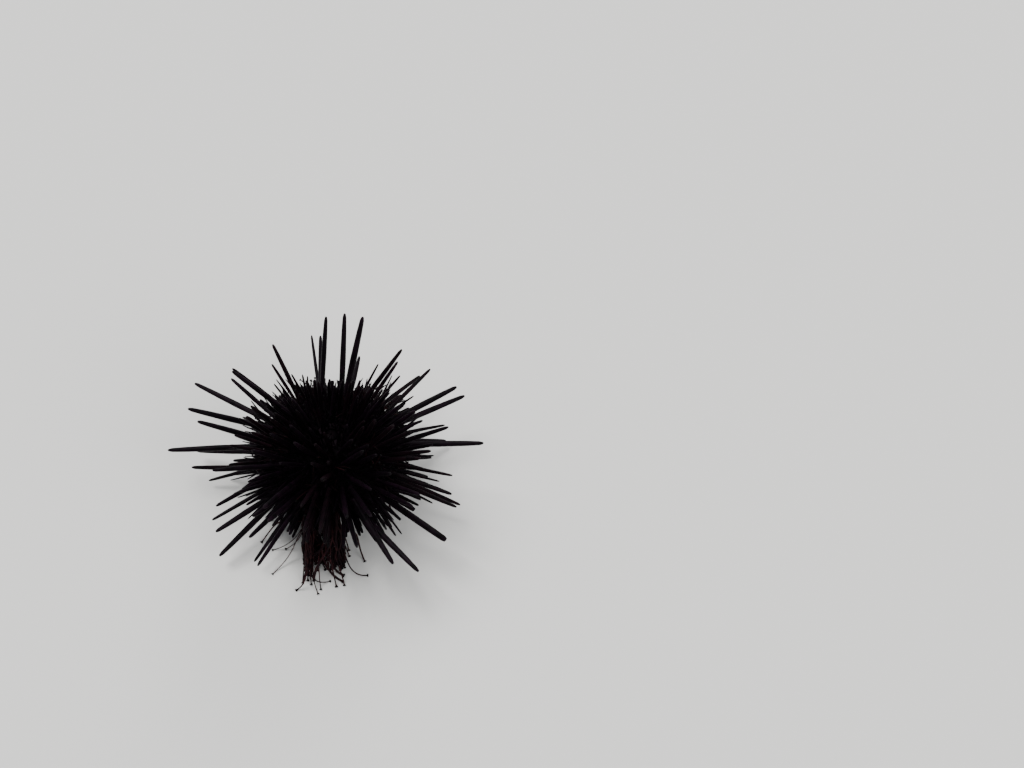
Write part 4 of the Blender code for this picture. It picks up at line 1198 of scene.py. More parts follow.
# Dense front bunch: how many feet, and between what places across and below the middle of
# the pose plane (millimetres) their suckers appear.
BUNCHES = ((110, (-8.7, 4.6), (29.0, 38.0)), (30, (-8.7, -5.4), (33.5, 41.4)))
BUNCH_SHARES = (0.16, 0.48)
BUNCH_MIXING = 0.6
BUNCH_STEPS = 13
BUNCH_SWAY = 0.0009
SIDE_FEET = 60
SIDE_SHARES = (0.12, 0.40)
SIDE_REACHES = (0.0185, 0.0245)
SIDE_SCATTER = 3.0
SIDE_STEPS = 12
SIDE_SWAY = 0.0006
SWAY_BEATS = (0.8, 1.6)
SWAY_POWER = 1.5
LOOSE_FEET = 150
LOOSE_TRIES = 8
LOOSE_COLUMNS = (0.60, 0.92)
LOOSE_SHARES = (0.14, 0.92)
LOOSE_LENGTHS = (0.0045, 0.0120)
LOOSE_SHORTER_ABOVE = 0.45
LOOSE_SCATTER = 0.30
LOOSE_DROOP = 0.18
LOOSE_LATE = 0.6
LOOSE_STEPS = 10
LOOSE_REACH = 0.0255
LOOSE_LOWEST = 0.0008
FOOT_BEND = 0.38
FOOT_ARRIVE = 0.34
# Stem: shares of the way along it, and of its radius there
STEM_STEPS = (0.0, 0.05, 0.3, 1.0)
STEM_WIDTHS = (1.35, 1.05, 0.95, 0.85)
STEM_END = 0.00062
SUCKER_RADIUS = 0.0006
# Distance before the sucker's underside, and share of its radius
SUCKER_RINGS = np.array(((0.00042, 0.50), (0.00028, 0.86), (0.00016, 1.0), (0.00006, 0.96), (0.00002, 0.5)))
SUCKER_ALONG = (0.87, 0.90, 0.93, 0.96, 1.0)
STEM_ALONG = 0.84
CUP_DEPTH = 0.00008
FOOT_LOWEST = 0.00002
FEET_SEED = 19
FEET_TRIES = 4
FOOT_RUNS = 6
FOOT_WIDEST = 0.00050
# Kinds of tube feet: radii of the stem and of the sucker, sides and tones
BUNCH_KIND = ((0.00024, 0.00036), (0.00042, 0.00058), 6, (0.0, 0.55))
SIDE_KIND = ((0.00020, 0.00028), (0.00042, 0.00056), 8, (0.0, 0.5))
LOOSE_KIND = ((0.00016, 0.00024), (0.00036, 0.00050), 6, (0.0, 0.4))


def seen_at_height(flat, height):
    """Points at heights that appear where the points of the pose plane do."""
    sight = flat - VIEW_POINT
    return VIEW_POINT + sight * ((VIEW_POINT[2] - height) / -sight[..., 2])[..., None]


def eased(knots, count):
    """Evenly spaced points along the knots, eased by averaging each with its neighbours.

    The straight runs are sampled by distance, and the averaging is repeated until their
    corners are gone. The two ends stay where they are.
    """
    steps = np.linalg.norm(np.diff(knots, axis=0), axis=1)
    travelled = np.concatenate(([0.0], np.cumsum(steps)))
    at = np.linspace(0.0, travelled[-1], count)
    curve = np.stack([np.interp(at, travelled, knots[:, axis]) for axis in range(3)], axis=1)
    for _ in range(count // 3):
        curve[1:-1] = 0.25 * curve[:-2] + 0.5 * curve[1:-1] + 0.25 * curve[2:]
    return curve


def bezier_feet(shares, bearings, ends, count):
    """Tube feet that leave the test square and come down on their ends.

    Cubic Bezier curves: the inner handles stand off the roots along the normals, and
    above the ends.
    """
    roots, normals = on_test(shares, bearings)
    reach = np.linalg.norm(ends - roots, axis=1)[:, None]
    bend = roots + normals * (FOOT_BEND * reach)
    arrive = ends + (0.0, 0.0, 1.0) * (FOOT_ARRIVE * reach)
    t = np.linspace(0.0, 1.0, count)[None, :, None]
    keep = 1.0 - t
    return (keep ** 3 * roots[:, None] + 3 * keep ** 2 * t * bend[:, None]
            + 3 * keep * t ** 2 * arrive[:, None] + t ** 3 * ends[:, None])


def swayed(curves, rng, sway):
    """The curves with a slow sideways sway that dies out at both ends."""
    steps = np.linspace(0.0, 1.0, curves.shape[1])
    beats = rng.uniform(*SWAY_BEATS, (len(curves), 1))
    wave = np.sin(2.0 * np.pi * (steps * beats + rng.uniform(size=(len(curves), 1))))
    sides = unit(np.cross(curves[:, -1] - curves[:, 0], (0.0, 0.0, 1.0)))
    return curves + (sway * np.sin(np.pi * steps) ** SWAY_POWER * wave)[..., None] * sides[:, None]


def foot_runs(curves):
    """Starts and ends of the straight runs that stand for each foot, run by run."""
    stops = np.linspace(0, curves.shape[1] - 1, FOOT_RUNS + 1).astype(int)
    return [(curves[:, a], curves[:, b]) for a, b in zip(stops[:-1], stops[1:])]


def feet_clear(curves, rods):
    """Whether each foot is clear of the rods along all its runs."""
    wide = np.full((len(curves), 2), FOOT_WIDEST)
    return np.min([rod_gaps(a, b, wide, rods) for a, b in foot_runs(curves)], axis=0) > 0.0


def add_feet(name, curves, shares, bearings, radius, sucker, sides, tones, looks, rng):
    """Piece of tube feet on curves (feet, points, 3) that end at their suckers.

    A stem, slightly swollen at its root, then the flared disc with a rounded rim and a
    shallow cup in its underside. A foot on the floor is flattened where it rests. Its
    tone is drawn between the two tones. The rods that stand for the feet are given back.
    """
    down = unit(curves[:, -1] - curves[:, -2])
    stems = curves.copy()
    stems[:, -1] -= down * STEM_END
    scale = (sucker / SUCKER_RADIUS)[:, None, None]
    tail = curves[:, -1:] - down[:, None] * SUCKER_RINGS[None, :, :1] * scale
    paths = np.concatenate((stems, tail), axis=1)
    stem = np.interp(np.linspace(0.0, 1.0, curves.shape[1]), STEM_STEPS, STEM_WIDTHS)
    wide = np.concatenate((np.outer(radius, stem), np.outer(sucker, SUCKER_RINGS[:, 1])), axis=1)
    rings = swept_rings(paths, wide, sides)
    poles = np.stack((paths[:, 0], curves[:, -1] - down * CUP_DEPTH), axis=1)
    for spot in (rings, poles):
        spot[..., 2] = np.maximum(spot[..., 2], FOOT_LOWEST)
    steps = np.linalg.norm(np.diff(paths, axis=1), axis=2)
    travelled = np.concatenate((np.zeros((len(paths), 1)), np.cumsum(steps, axis=1)), axis=1)
    along = np.concatenate((np.linspace(0.0, STEM_ALONG, curves.shape[1]), SUCKER_ALONG))
    values = {"along": along[None, :, None], "millimetres": (1000.0 * travelled)[..., None],
              "tone": rng.uniform(*tones, size=(len(curves), 1, 1))}
    layouts = {"OFBake": patches(shares, bearings)}
    add_piece(name, rings, poles, layouts, values, looks["foot"])
    wide = np.stack((radius, radius), axis=1)
    return [rod for a, b in foot_runs(curves) for rod in zip(a, b, wide)]


def add_fitting_feet(name, count, curves, shares, bearings, fits, kind, looks, rng):
    """Piece of the first so many of the feet that fit, sized and toned as their kind is."""
    kept = np.flatnonzero(fits)[:count]
    stems, suckers, sides, tones = kind
    radius, sucker = rng.uniform(*stems, len(kept)), rng.uniform(*suckers, len(kept))
    return add_feet(name, curves[kept], shares[kept], bearings[kept], radius, sucker, sides, tones,
                    looks, rng)


def make_posed_feet(looks, rng):
    """The long front feet that lie over the floor one by one.

    In the pose plane each is the quadratic curve through its three points. It starts
    from the pore nearest its first point, and sinks to the floor, faster at first.
    """
    curves, shares, bearings = [], [], []
    t = np.linspace(0.0, 1.0, POSED_STEPS)
    tries = [(share, FIRST_AMBULACRUM + column * AMBULACRUM_HALF)
             for share in PORE_SHARES for column in (-PORE_COLUMN, PORE_COLUMN)]
    for row in POSED_FEET:
        start, half, end = (plane_point(*row[k:k + 2] * np.array((1.0, MM))) for k in (0, 2, 4))
        bow = 2.0 * half - (start + end) / 2.0
        flat = (np.outer((1.0 - t) ** 2, start) + np.outer(2.0 * t * (1.0 - t), bow)
                + np.outer(t ** 2, end))
        points = seen_at_height(flat, POSED_HEIGHT * (1.0 - t) ** POSED_DROP)
        gaps = [np.linalg.norm(surface_point(*place) - points[0]) for place in tries]
        share, bearing = tries[int(np.argmin(gaps))]
        root, normal = on_test(share, bearing)
        start = np.vstack((root, root + normal * POSED_LEAVE * min(gaps)))
        curves.append(eased(np.vstack((start, points)), FOOT_RINGS))
        shares.append(share)
        bearings.append(bearing)
    curves = np.array(curves)
    radii = np.array([row[6] for row in POSED_FEET]) * MM
    lowest = POSED_LOWEST * np.linspace(1.0, 0.0, FOOT_RINGS) ** POSED_SETTLE
    curves[..., 2] = np.maximum(curves[..., 2], lowest)
    suckers = POSED_SUCKERS[0] + POSED_SUCKERS[1] * radii
    return add_feet("posed_tube_feet", curves, shares, bearings, radii, suckers, POSED_SIDES,
                    POSED_TONES, looks, rng)


def make_reaching_feet(rods, looks, rng):
    """The dense front bunch, and the feet of the other four ambulacra that hold the floor.

    More are drawn than are kept, and those that would pass through a spine are left out.
    """
    made = []
    left, right = BUNCHES[0][1]
    middle, half = (left + right) / 2.0, (right - left) / 2.0
    for number, (count, across, below) in enumerate(BUNCHES):
        tries = count * FEET_TRIES
        x, y = rng.uniform(*across, tries), rng.uniform(*below, tries)
        ends = seen_at_height(MIDDLE + MM * (x[:, None] * ACROSS - y[:, None] * UPWARD), 0.0)
        side = np.sign((x - middle) / half + BUNCH_MIXING * rng.normal(size=tries))
        bearings = FIRST_AMBULACRUM + side * rng.uniform(*FOOT_COLUMNS, tries) * AMBULACRUM_HALF
        shares = rng.uniform(*BUNCH_SHARES, tries)
        curves = swayed(bezier_feet(shares, bearings, ends, BUNCH_STEPS), rng, BUNCH_SWAY)
        made += add_fitting_feet(f"front_bunch_{number + 1}", count, curves, shares, bearings,
                                 feet_clear(curves, rods), BUNCH_KIND, looks, rng)
    tries = SIDE_FEET * FEET_TRIES
    k = np.arange(tries) % (SECTOR_PAIRS - 1) + 1
    column = rng.choice((-1.0, 1.0), tries) * rng.uniform(*FOOT_COLUMNS, tries)
    bearings = ray(k) + column * AMBULACRUM_HALF
    shares = rng.uniform(*SIDE_SHARES, tries)
    reaches = rng.uniform(*SIDE_REACHES, tries)
    ends = around_axis(reaches, bearings + rng.normal(0.0, SIDE_SCATTER, tries), 0.0)
    curves = swayed(bezier_feet(shares, bearings, ends, SIDE_STEPS), rng, SIDE_SWAY)
    return made + add_fitting_feet("side_tube_feet", SIDE_FEET, curves, shares, bearings,
                                   feet_clear(curves, rods), SIDE_KIND, looks, rng)


def make_loose_feet(rods, looks, rng):
    """Shorter tube feet that wave between the spines, all over the five ambulacra.

    Each leaves the test near its normal and bends more and more towards its tip. Those
    that would touch a primary spine or a longer foot, or show beyond the mass, are not kept.
    """
    tries = LOOSE_FEET * LOOSE_TRIES
    k = rng.integers(SECTOR_PAIRS, size=tries)
    column = rng.choice((-1.0, 1.0), tries) * rng.uniform(*LOOSE_COLUMNS, tries)
    bearings = ray(k) + column * AMBULACRUM_HALF
    shares = rng.uniform(*LOOSE_SHARES, tries)
    roots, normals = on_test(shares, bearings)
    lengths = rng.uniform(*LOOSE_LENGTHS, tries) * (1.0 - LOOSE_SHORTER_ABOVE * shares)
    aims = unit(normals + LOOSE_SCATTER * rng.normal(size=normals.shape))[:, None]
    bends = LOOSE_SCATTER * rng.normal(size=normals.shape) - (0.0, 0.0, LOOSE_DROOP)
    t = np.linspace(0.0, 1.0, LOOSE_STEPS)[None, :, None]
    bow = bends[:, None] * t ** 2 * (1.0 - LOOSE_LATE + LOOSE_LATE * t)
    curves = roots[:, None] + lengths[:, None, None] * (aims * t + bow)
    seen = plane_reach(curves[:, -1])[1]
    fits = feet_clear(curves, rods) & (seen < LOOSE_REACH) & (curves[..., 2].min(axis=1) > LOOSE_LOWEST)
    return add_fitting_feet("loose_tube_feet", LOOSE_FEET, curves, shares, bearings, fits,
                            LOOSE_KIND, looks, rng)


# ---------------------------------------------------------------- pincers

PINCERS = 220
PINCER_SEED = 23
PINCER_SPACING = 0.0014
PINCER_OFF_ROOT = 0.0013
PINCER_WIDTH = 0.00022
PINCER_SCATTER = 0.22
STALK_HEIGHTS = (0.0014, 0.0034)
STALK_ROOM = 0.0012
STALK_LOWEST = 0.0004
STALK_SHORT = 0.0006
STALK_BOW = 0.10
STALK_END = 0.00005
STALK_ALONG = 0.55
# Share of the stalk's height, and radius
STALK_STEPS = np.array(((0.0, 0.00010), (0.3, 0.00008), (0.65, 0.00008), (1.0, 0.00014)))
# Share of the jaw's size, swing outwards and radius (millimetres)
JAW_STEPS = np.array(((0.0, 0.05, 0.08), (0.30, 0.18, 0.12), (0.70, 0.16, 0.09), (1.0, 0.03, 0.04)))
JAW_SIZES = (0.00055, 0.00085)
JAW_USUAL = 0.00075
JAW_END = 0.00003
JAWS = 3
PINCER_SIDES = 5


def make_pincers(roots, rods, looks):
    """Three-jawed pincers: a thin bowed stalk and three blades that meet at their tips.

    A jaw's path climbs along the stalk's aim while it swings out and back in, in
    millimetres at the usual size. Those that would touch a spine or a foot are left out.
    """
    rng = np.random.default_rng(PINCER_SEED)
    places = skin_places(PINCER_SPACING, PINCER_SEED)
    away, _ = nearest_root(surface_point(*places.T), np.array([r[3] for r in roots]))
    places = places[rng.permutation(np.flatnonzero(away > PINCER_OFF_ROOT))]
    points, normals = on_test(*places.T)
    aims = unit(normals + PINCER_SCATTER * rng.normal(size=normals.shape))
    height = rng.uniform(*STALK_HEIGHTS, len(points))
    low = points[:, 2] + aims[:, 2] * (height + STALK_ROOM) < STALK_LOWEST
    height = np.where(low, STALK_SHORT, height)[:, None]
    wide = np.full((len(points), 2), PINCER_WIDTH)
    clear = rod_gaps(points, points + aims * (height + JAW_SIZES[1]), wide, rods) > 0.0
    kept = np.flatnonzero(clear)[:PINCERS]
    places, points, aims, height = places[kept], points[kept], aims[kept], height[kept]
    side = unit(np.cross(aims, rng.normal(size=aims.shape)))
    other = np.cross(aims, side)
    steps = STALK_STEPS[:, 0]
    bow = STALK_BOW * height * np.sin(np.pi * steps)
    stalks = points[:, None] + (height * steps)[..., None] * aims[:, None] + bow[..., None] * side[:, None]
    rings = swept_rings(stalks, STALK_STEPS[:, 1], PINCER_SIDES)
    heads = stalks[:, -1]
    poles = np.stack((stalks[:, 0], heads + aims * STALK_END), axis=1)
    add_piece("pincer_stalks", rings, poles, {"OFBake": patches(*places.T)},
              {"along": STALK_ALONG * steps[None, :, None]}, looks["pincer"])
    size = rng.uniform(*JAW_SIZES, len(points))[:, None]
    jaws = []
    for turn in np.arange(JAWS) * 2.0 * math.pi / JAWS:
        out = math.cos(turn) * side + math.sin(turn) * other
        swing = MM * JAW_STEPS[:, 1] * size / JAW_USUAL
        jaws.append(heads[:, None] + (size * JAW_STEPS[:, 0])[..., None] * aims[:, None]
                    + swing[..., None] * out[:, None])
    jaws = np.concatenate(jaws)
    rings = swept_rings(jaws, MM * JAW_STEPS[:, 2], PINCER_SIDES)
    poles = np.stack((jaws[:, 0], jaws[:, -1] + np.tile(aims, (JAWS, 1)) * JAW_END), axis=1)
    add_piece("pincer_jaws", rings, poles, {"OFBake": patches(*np.tile(places, (JAWS, 1)).T)},
              {"along": np.ones((1, 1, 1))}, looks["pincer"])


# ---------------------------------------------------------------- apical plates and vent

PILLOW_SIDES = 48
PILLOW_GROW = np.array((0.10, 0.22, 0.34, 0.46, 0.58, 0.70, 0.80, 0.88, 0.95, 0.99, 1.0, 1.0, 0.6))
PILLOW_DROP = np.array((0.0, 0.0, 0.0, 0.0, 0.01, 0.02, 0.04, 0.08, 0.15, 0.24, 0.40, 1.2, 1.2)) * MM
PILLOW_SQUARE = 0.38
PILLOW_SWELL = 0.00010
PLATE_SEAM = 0.00010
PLATE_INNER = PERIPROCT_RADIUS + GAP * 0.6
PLATE_OUTER = APICAL_RADIUS - GAP * 0.5
PORE_PLACE = 0.72
PORE_DEPTH = 0.00022
PORE_TO_DROP = 0.0003
GENITAL_PORE = 0.00022
OCULAR_PORE = 0.00012
# Share of the periproct's radius, and level (millimetres)
VENT_RINGS = np.array(((1.0, -1.4), (1.0, -0.30), (0.97, -0.16), (0.90, -0.05), (0.80, 0.06), (0.68, 0.15),
                       (0.55, 0.23), (0.43, 0.32), (0.32, 0.42), (0.22, 0.46), (0.14, 0.36), (0.08, 0.10)))
VENT_SIDES = 64
VENT_PLATES = 9.0
VENT_TWIST = 4.0
VENT_FOLDS = 14.0
VENT_FOLDS_WITHIN = 0.45
VENT_WAVE = 0.05
# Painted shade of the vent: its tone by level and by the waves between its plates, darker where it lies low
VENT_SHADES = (2.0, 6.0)
VENT_BELOW_CROWN = 0.00025
# How far the two poles are below the crown
VENT_POLES = (0.0016, 0.0003)


def apical_height(radius):
    """Height of the domed top of the test at a radius from its axis."""
    rim = profile_at(1.0)[1]
    return rim + (WIDEST_Z + UPPER_HEIGHT - rim) * (1.0 - (radius / APICAL_RADIUS) ** 2)


def add_plate(node, bearing, half, pore, look):
    """Pillow over a ring sector: top pole, rounded rim and flat underside.

    Each ring is a rounded square in (across, outwards), both from -1 to 1, bent onto the
    sector. The top swells a little and its rim rolls under. A pore near the outer edge is
    a round dip.
    """
    turn = turns(PILLOW_SIDES)
    square = [np.sign(wave) * np.abs(wave) ** PILLOW_SQUARE for wave in (np.cos(turn), np.sin(turn))]
    a, b = (PILLOW_GROW[:, None] * part for part in square)
    middle = (PLATE_INNER + PLATE_OUTER) / 2.0
    radius = middle + b * (PLATE_OUTER - PLATE_INNER) / 2.0
    angle = bearing + a * (half - np.degrees(PLATE_SEAM / radius))
    swell = PILLOW_SWELL * (1.0 - a ** 2) * (1.0 - b ** 2)
    flat = around_axis(radius, angle, 0.0)
    centre = around_axis(PLATE_INNER + PORE_PLACE * (PLATE_OUTER - PLATE_INNER), bearing, 0.0)
    dip = PORE_DEPTH * np.exp(-np.sum((flat - centre) ** 2, axis=-1) / pore ** 2)
    drop = PILLOW_DROP[:, None]
    flat[..., 2] = apical_height(radius) + swell - drop - dip * (drop < PORE_TO_DROP)
    crown = apical_height(middle)
    poles = around_axis(middle, bearing, np.array((crown + PILLOW_SWELL, crown - PILLOW_DROP[-1])))
    add_piece(f"{node}_top", flat[None], poles[None], {"OFBake": whole}, {}, look, [node])


def make_apical_plates(looks):
    """Genital plates with their pores, the madreporite, ocular plates and the periproct.

    The periproct's dome is cut into small plates by waves round and across it, and folds
    in to the vent at its middle.
    """
    for k in range(SECTOR_PAIRS):
        middle = ray(k) + PAIR_ANGLE / 2.0
        if k + 1 == MADREPORITE_NUMBER:
            add_plate("madreporite", middle, GENITAL_HALF, GENITAL_PORE, looks["sieve"])
        else:
            add_plate(f"genital_plate_{k + 1}", middle, GENITAL_HALF, GENITAL_PORE, looks["genital"])
        add_plate(f"ocular_plate_{k + 1}", ray(k), OCULAR_HALF, OCULAR_PORE, looks["ocular"])
    turn = turns(VENT_SIDES)
    reach, level = VENT_RINGS[:, :1], VENT_RINGS[:, 1:]
    plates = VENT_WAVE * np.cos(VENT_PLATES * turn + VENT_TWIST * reach) * np.sin(np.pi * reach)
    folds = VENT_WAVE * np.cos(VENT_FOLDS * turn) * (reach < VENT_FOLDS_WITHIN)
    crown = WIDEST_Z + UPPER_HEIGHT
    rings = around_axis(PERIPROCT_RADIUS * reach, np.degrees(turn),
                        crown - VENT_BELOW_CROWN + MM * (level + plates + folds))[None]
    poles = around_axis(0.0, 0.0, crown - np.array([VENT_POLES]))
    # Painted shade: the vent is darker where it lies low and between its small plates
    rise = np.clip(VENT_SHADES[0] * level + VENT_SHADES[1] * plates, 0.0, 1.0)[None]
    add_piece("periproct_skin", rings, poles, {"OFBake": whole}, {"rise": rise}, looks["vent"],
              ["periproct"])


# ---------------------------------------------------------------- mouth

MOUTH_SIDES = 200
MOUTH_RINGS = 34
MOUTH_DOME = 0.0011
DOME_WITHIN = 0.7
DOME_POWER = 0.8
DOME_LIFT = 0.0002
RING_FOLD = 0.00085
RING_HEIGHT = 0.00010
CREASES = 60.0
CREASE_WANDER = 3.0
CREASE_WANDERS = 9.0
CREASE_HEIGHT = 0.00008
FOLDS_FULL = 0.0003
LIP_PLACE = 1.12
LIP_HEIGHT = 0.00035
LIP_WIDTH = 0.0004
THROAT_REACHES = (0.12, 0.20)
THROAT_RISE = 0.0004
THROAT_TOP = 0.0006
BACK_REACHES = (0.98, 0.5)
MOUTH_FOOT_RADIUS = 0.0046
MOUTH_FOOT_SIDE = 9.0
# Runs of a mouth foot and of a gill's lobe, outwards and upwards
MOUTH_FOOT_RUN = (0.0010, -0.0026)
GILL_RUN = (0.0010, -0.0016)
MOUTH_FOOT_START = 0.0002
MOUTH_FOOT_BOW = 0.0004
MOUTH_FOOT_STEPS = 10
MOUTH_FOOT_SIZES = (0.00030, 0.00050)
MOUTH_FOOT_SIDES = 12
MOUTH_FOOT_TONES = (0.2, 0.6)
MOUTH_SHARE = 0.01
GILL_RADIUS = 0.0082
GILL_SIDE = AMBULACRUM_HALF + 5.0
GILL_LOBES = 9
GILL_START = 0.0002
GILL_SPREAD = 4.0
GILL_SCATTER = 0.0004
GILL_WIDTHS = (0.00022, 0.00020, 0.00022, 0.00018, 0.00009)
GILL_TIP = 0.05
GILL_SIDES = 6
GILL_RISE = 0.6
TOOTH_RINGS = 14
TOOTH_SIDES = 28
# Tooth: shares of the way down it, and half its width and depth there
TOOTH_STEPS = (0.0, 0.6, 0.92, 1.0)
TOOTH_WIDTHS = (0.00075, 0.00062, 0.00034, 0.00012)
TOOTH_DEPTHS = (0.00050, 0.00042, 0.00022, 0.00010)
TOOTH_TIP = 0.00025
TOOTH_TOP_SHARE = 0.62
TOOTH_CURVE = 0.7
TOOTH_KEEL = 0.9


def make_peristome(looks):
    """Peristome membrane with its lips.

    A disc whose height falls towards the lips, in ring folds crossed by radial creases.
    It is closed inside the test.
    """
    rim = profile_at(0.0)[1]
    outer = PERISTOME_RADIUS - LIP_STEP
    turn = turns(MOUTH_SIDES)
    shown = np.linspace(MOUTH_RADIUS / outer, 1.0, MOUTH_RINGS)
    reach = np.concatenate((THROAT_REACHES, shown, BACK_REACHES))[:, None]
    fall = np.clip((1.0 - reach) / DOME_WITHIN, 0.0, 1.0) ** DOME_POWER
    ring_folds = RING_HEIGHT * np.cos(reach * outer * 2.0 * math.pi / RING_FOLD)
    wander = CREASE_WANDER * np.sin(CREASE_WANDERS * reach)
    creases = CREASE_HEIGHT * np.cos(CREASES * turn + wander) * (1.0 - reach)
    lip = LIP_HEIGHT * np.exp(-((reach * outer - MOUTH_RADIUS * LIP_PLACE) / LIP_WIDTH) ** 2)
    height = rim + DOME_LIFT - MOUTH_DOME * fall + ring_folds + creases - lip
    height[:2] = rim + THROAT_RISE
    height[-2:] = rim + PLATE_DEPTH - GAP
    rings = around_axis(outer * reach, -np.degrees(turn), height)[None]
    poles = around_axis(0.0, 0.0, np.array([[rim + THROAT_TOP, rim + PLATE_DEPTH - GAP]]))
    # Painted shade: rise is low where the folds and creases sink in, and the look darkens them there
    rise = 0.5 - (ring_folds + creases) / FOLDS_FULL
    add_piece("peristome_skin", rings[:, :, ::-1], poles, {"OFBake": whole},
              {"rise": rise[None, :, ::-1]}, looks["mouth"], ["peristome"])


def make_mouth_feet(looks, rng):
    """Ten stout feet in pairs on the membrane, and the bushy gills at its edge."""
    rim = profile_at(0.0)[1]
    middles, sides = np.repeat(ray(np.arange(SECTOR_PAIRS)), 2), np.tile((-1.0, 1.0), SECTOR_PAIRS)
    t = np.linspace(0.0, 1.0, MOUTH_FOOT_STEPS)
    bearings = middles + sides * MOUTH_FOOT_SIDE
    level = rim - MOUTH_FOOT_START + MOUTH_FOOT_RUN[1] * t + MOUTH_FOOT_BOW * np.sin(np.pi * t)
    curves = around_axis(MOUTH_FOOT_RADIUS + MOUTH_FOOT_RUN[0] * t, bearings[:, None], level)
    radii, suckers = np.tile(MOUTH_FOOT_SIZES, (len(bearings), 1)).T
    add_feet("mouth_feet", curves, MOUTH_SHARE, bearings, radii, suckers, MOUTH_FOOT_SIDES,
             MOUTH_FOOT_TONES, looks, rng)
    bearings = np.repeat(middles + sides * GILL_SIDE, GILL_LOBES)
    bearings = bearings + rng.uniform(-GILL_SPREAD, GILL_SPREAD, len(bearings))
    root = around_axis(GILL_RADIUS, bearings, rim + GILL_START)
    end = around_axis(GILL_RADIUS + GILL_RUN[0], bearings, rim + GILL_START + GILL_RUN[1])
    end = end + GILL_SCATTER * rng.normal(size=end.shape)
    t = np.linspace(0.0, 1.0, len(GILL_WIDTHS))[None, :, None]
    tufts = root[:, None] + (end - root)[:, None] * t
    rings = swept_rings(tufts, np.array(GILL_WIDTHS), GILL_SIDES)
    poles = np.stack((tufts[:, 0], tufts[:, -1] * (1.0 + GILL_TIP) - tufts[:, -2] * GILL_TIP), axis=1)
    add_piece("gills", rings, poles, {"OFBake": patches(MOUTH_SHARE, bearings)},
              {"rise": np.full((1, 1, 1), GILL_RISE)}, looks["mouth"])


def make_teeth(looks):
    """The five teeth, each a blade that narrows and closes in on the axis as it comes down.

    A section is an ellipse pinched into a keel on its inner side.
    """
    rim = profile_at(0.0)[1]
    steps = np.linspace(0.0, 1.0, TOOTH_RINGS)
    distance = TOOTH_TIP + (TEETH_TOP_RADIUS * TOOTH_TOP_SHARE - TOOTH_TIP) * (1.0 - steps) ** TOOTH_CURVE
    level = rim + PLATE_DEPTH - GAP - steps * (PLATE_DEPTH - GAP + TEETH_DROP)
    wide = np.interp(steps, TOOTH_STEPS, TOOTH_WIDTHS)[:, None]
    deep = np.interp(steps, TOOTH_STEPS, TOOTH_DEPTHS)[:, None]
    around = turns(TOOTH_SIDES)
    keel = 1.0 - TOOTH_KEEL * np.clip(-np.cos(around), 0.0, 1.0) * np.abs(np.sin(around))
    for k in range(SECTOR_PAIRS):
        bearing = ray(k + 0.5)
        turn = math.radians(bearing)
        out = np.array((math.cos(turn), math.sin(turn), 0.0))
        side = np.array((-math.sin(turn), math.cos(turn), 0.0))
        centre = around_axis(distance, bearing, level)
        rings = (centre[:, None] + (deep * np.cos(around) * keel)[..., None] * out
                 + (wide * np.sin(around))[..., None] * side)
        poles = np.stack((centre[0], centre[-1]))[None]
        add_piece(f"tooth_{k + 1}_blade", rings[None, :, ::-1], poles, {"OFBake": whole},
                  {"along": steps[None, :, None]}, looks["tooth"], [f"tooth_{k + 1}"])


# ---------------------------------------------------------------- studio and camera

CLIP = (0.01, 20.0)
FLOOR_HALF = 12.0
FLOOR_COLOUR = (0.62, 0.61, 0.59)
SKY_COLOUR = (0.88, 0.92, 0.96, 1.0)
# Name, place that the light comes from, spread in degrees and strength
LAMPS = (("key_light", (-0.35, 0.25, 0.70), 31.0, 4.3),
         ("fill_light", (0.60, -0.45, 0.55), 38.0, 1.5),
         ("rim_light", (0.25, 0.70, 0.35), 25.0, 1.4))
SKY_STRENGTH = 0.55


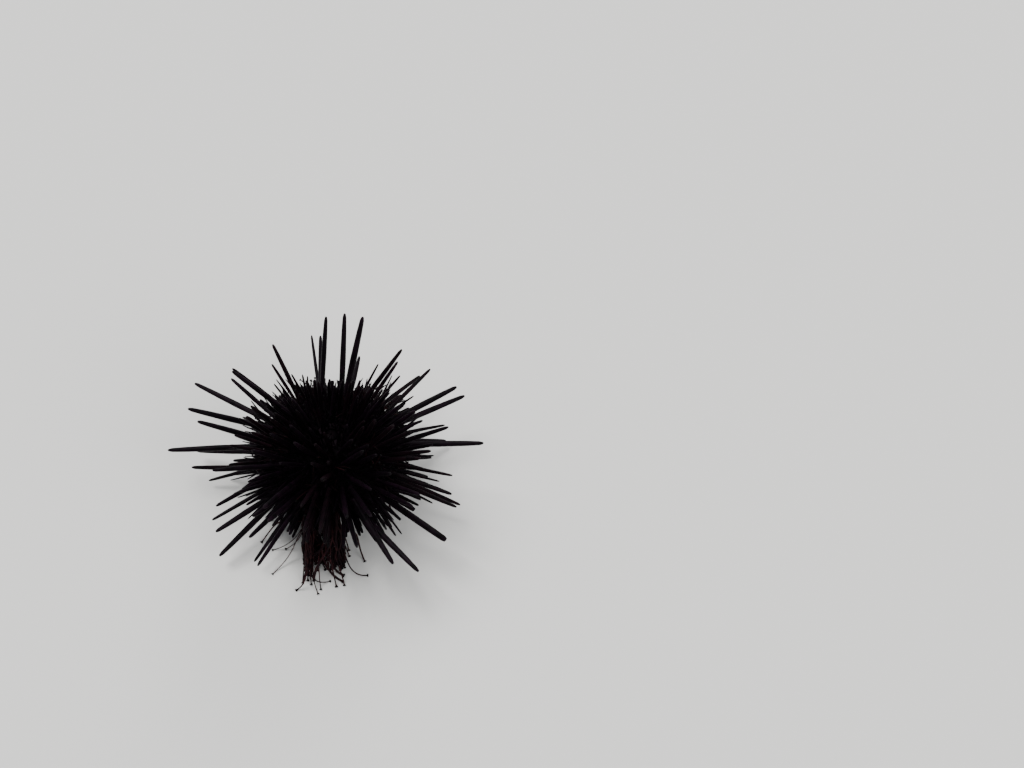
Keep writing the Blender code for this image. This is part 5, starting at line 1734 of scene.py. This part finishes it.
def studio():
    """Plain pale floor, a broad soft key light, a fill, a rim light and an even sky."""
    mesh = bpy.data.meshes.new("studio_floor")
    corners = [(x * FLOOR_HALF, y * FLOOR_HALF, 0.0) for x, y in ((-1, -1), (1, -1), (1, 1), (-1, 1))]
    mesh.from_pydata(corners, [], [(0, 1, 2, 3)])
    floor = bpy.data.objects.new("studio_floor", mesh)
    bpy.context.scene.collection.objects.link(floor)
    pale = Look("pale_floor", roughness=0.9, specular=0.3)
    pale.colour(FLOOR_COLOUR)
    mesh.materials.append(pale.material)
    for name, place, spread, strength in LAMPS:
        lamp = bpy.data.lights.new(name, "SUN")
        lamp.angle = math.radians(spread)
        lamp.energy = strength
        made = bpy.data.objects.new(name, lamp)
        bpy.context.scene.collection.objects.link(made)
        made.location = place
        made.rotation_euler = (Vector(MIDDLE) - Vector(place)).to_track_quat("-Z", "Y").to_euler()
    world = bpy.data.worlds.new("studio_sky")
    world.use_nodes = True
    sky = world.node_tree.nodes["Background"].inputs
    sky["Color"].default_value = SKY_COLOUR
    sky["Strength"].default_value = SKY_STRENGTH
    bpy.context.scene.world = world


def camera():
    """Camera at the viewing point, looking square at the pose plane."""
    lens = bpy.data.cameras.new("camera")
    lens.lens = LENS_MM
    lens.sensor_width = SENSOR_MM
    lens.clip_start, lens.clip_end = CLIP
    made = bpy.data.objects.new("camera", lens)
    bpy.context.scene.collection.objects.link(made)
    square = Matrix((ACROSS, UPWARD, OUTWARD)).transposed().to_4x4()
    made.matrix_world = Matrix.Translation(VIEW_POINT) @ square
    bpy.context.scene.camera = made


def build():
    """Every piece of the urchin, then the studio and the camera."""
    looks = make_looks()
    roots = tubercles()
    spines = filling_spines(roots, outline_spines(roots))
    rng = np.random.default_rng(FEET_SEED)
    rods = [s[1:] for s in spines]
    make_test_skin(roots, looks)
    make_primary_spines(roots, spines, looks)
    rods += make_posed_feet(looks, rng) + make_reaching_feet(rods, looks, rng)
    rods += make_loose_feet(rods, looks, rng)
    rods += make_short_spines(roots, rods, looks)
    make_pincers(roots, rods, looks)
    make_apical_plates(looks)
    make_peristome(looks)
    make_mouth_feet(looks, rng)
    make_teeth(looks)
    studio()
    camera()


build()
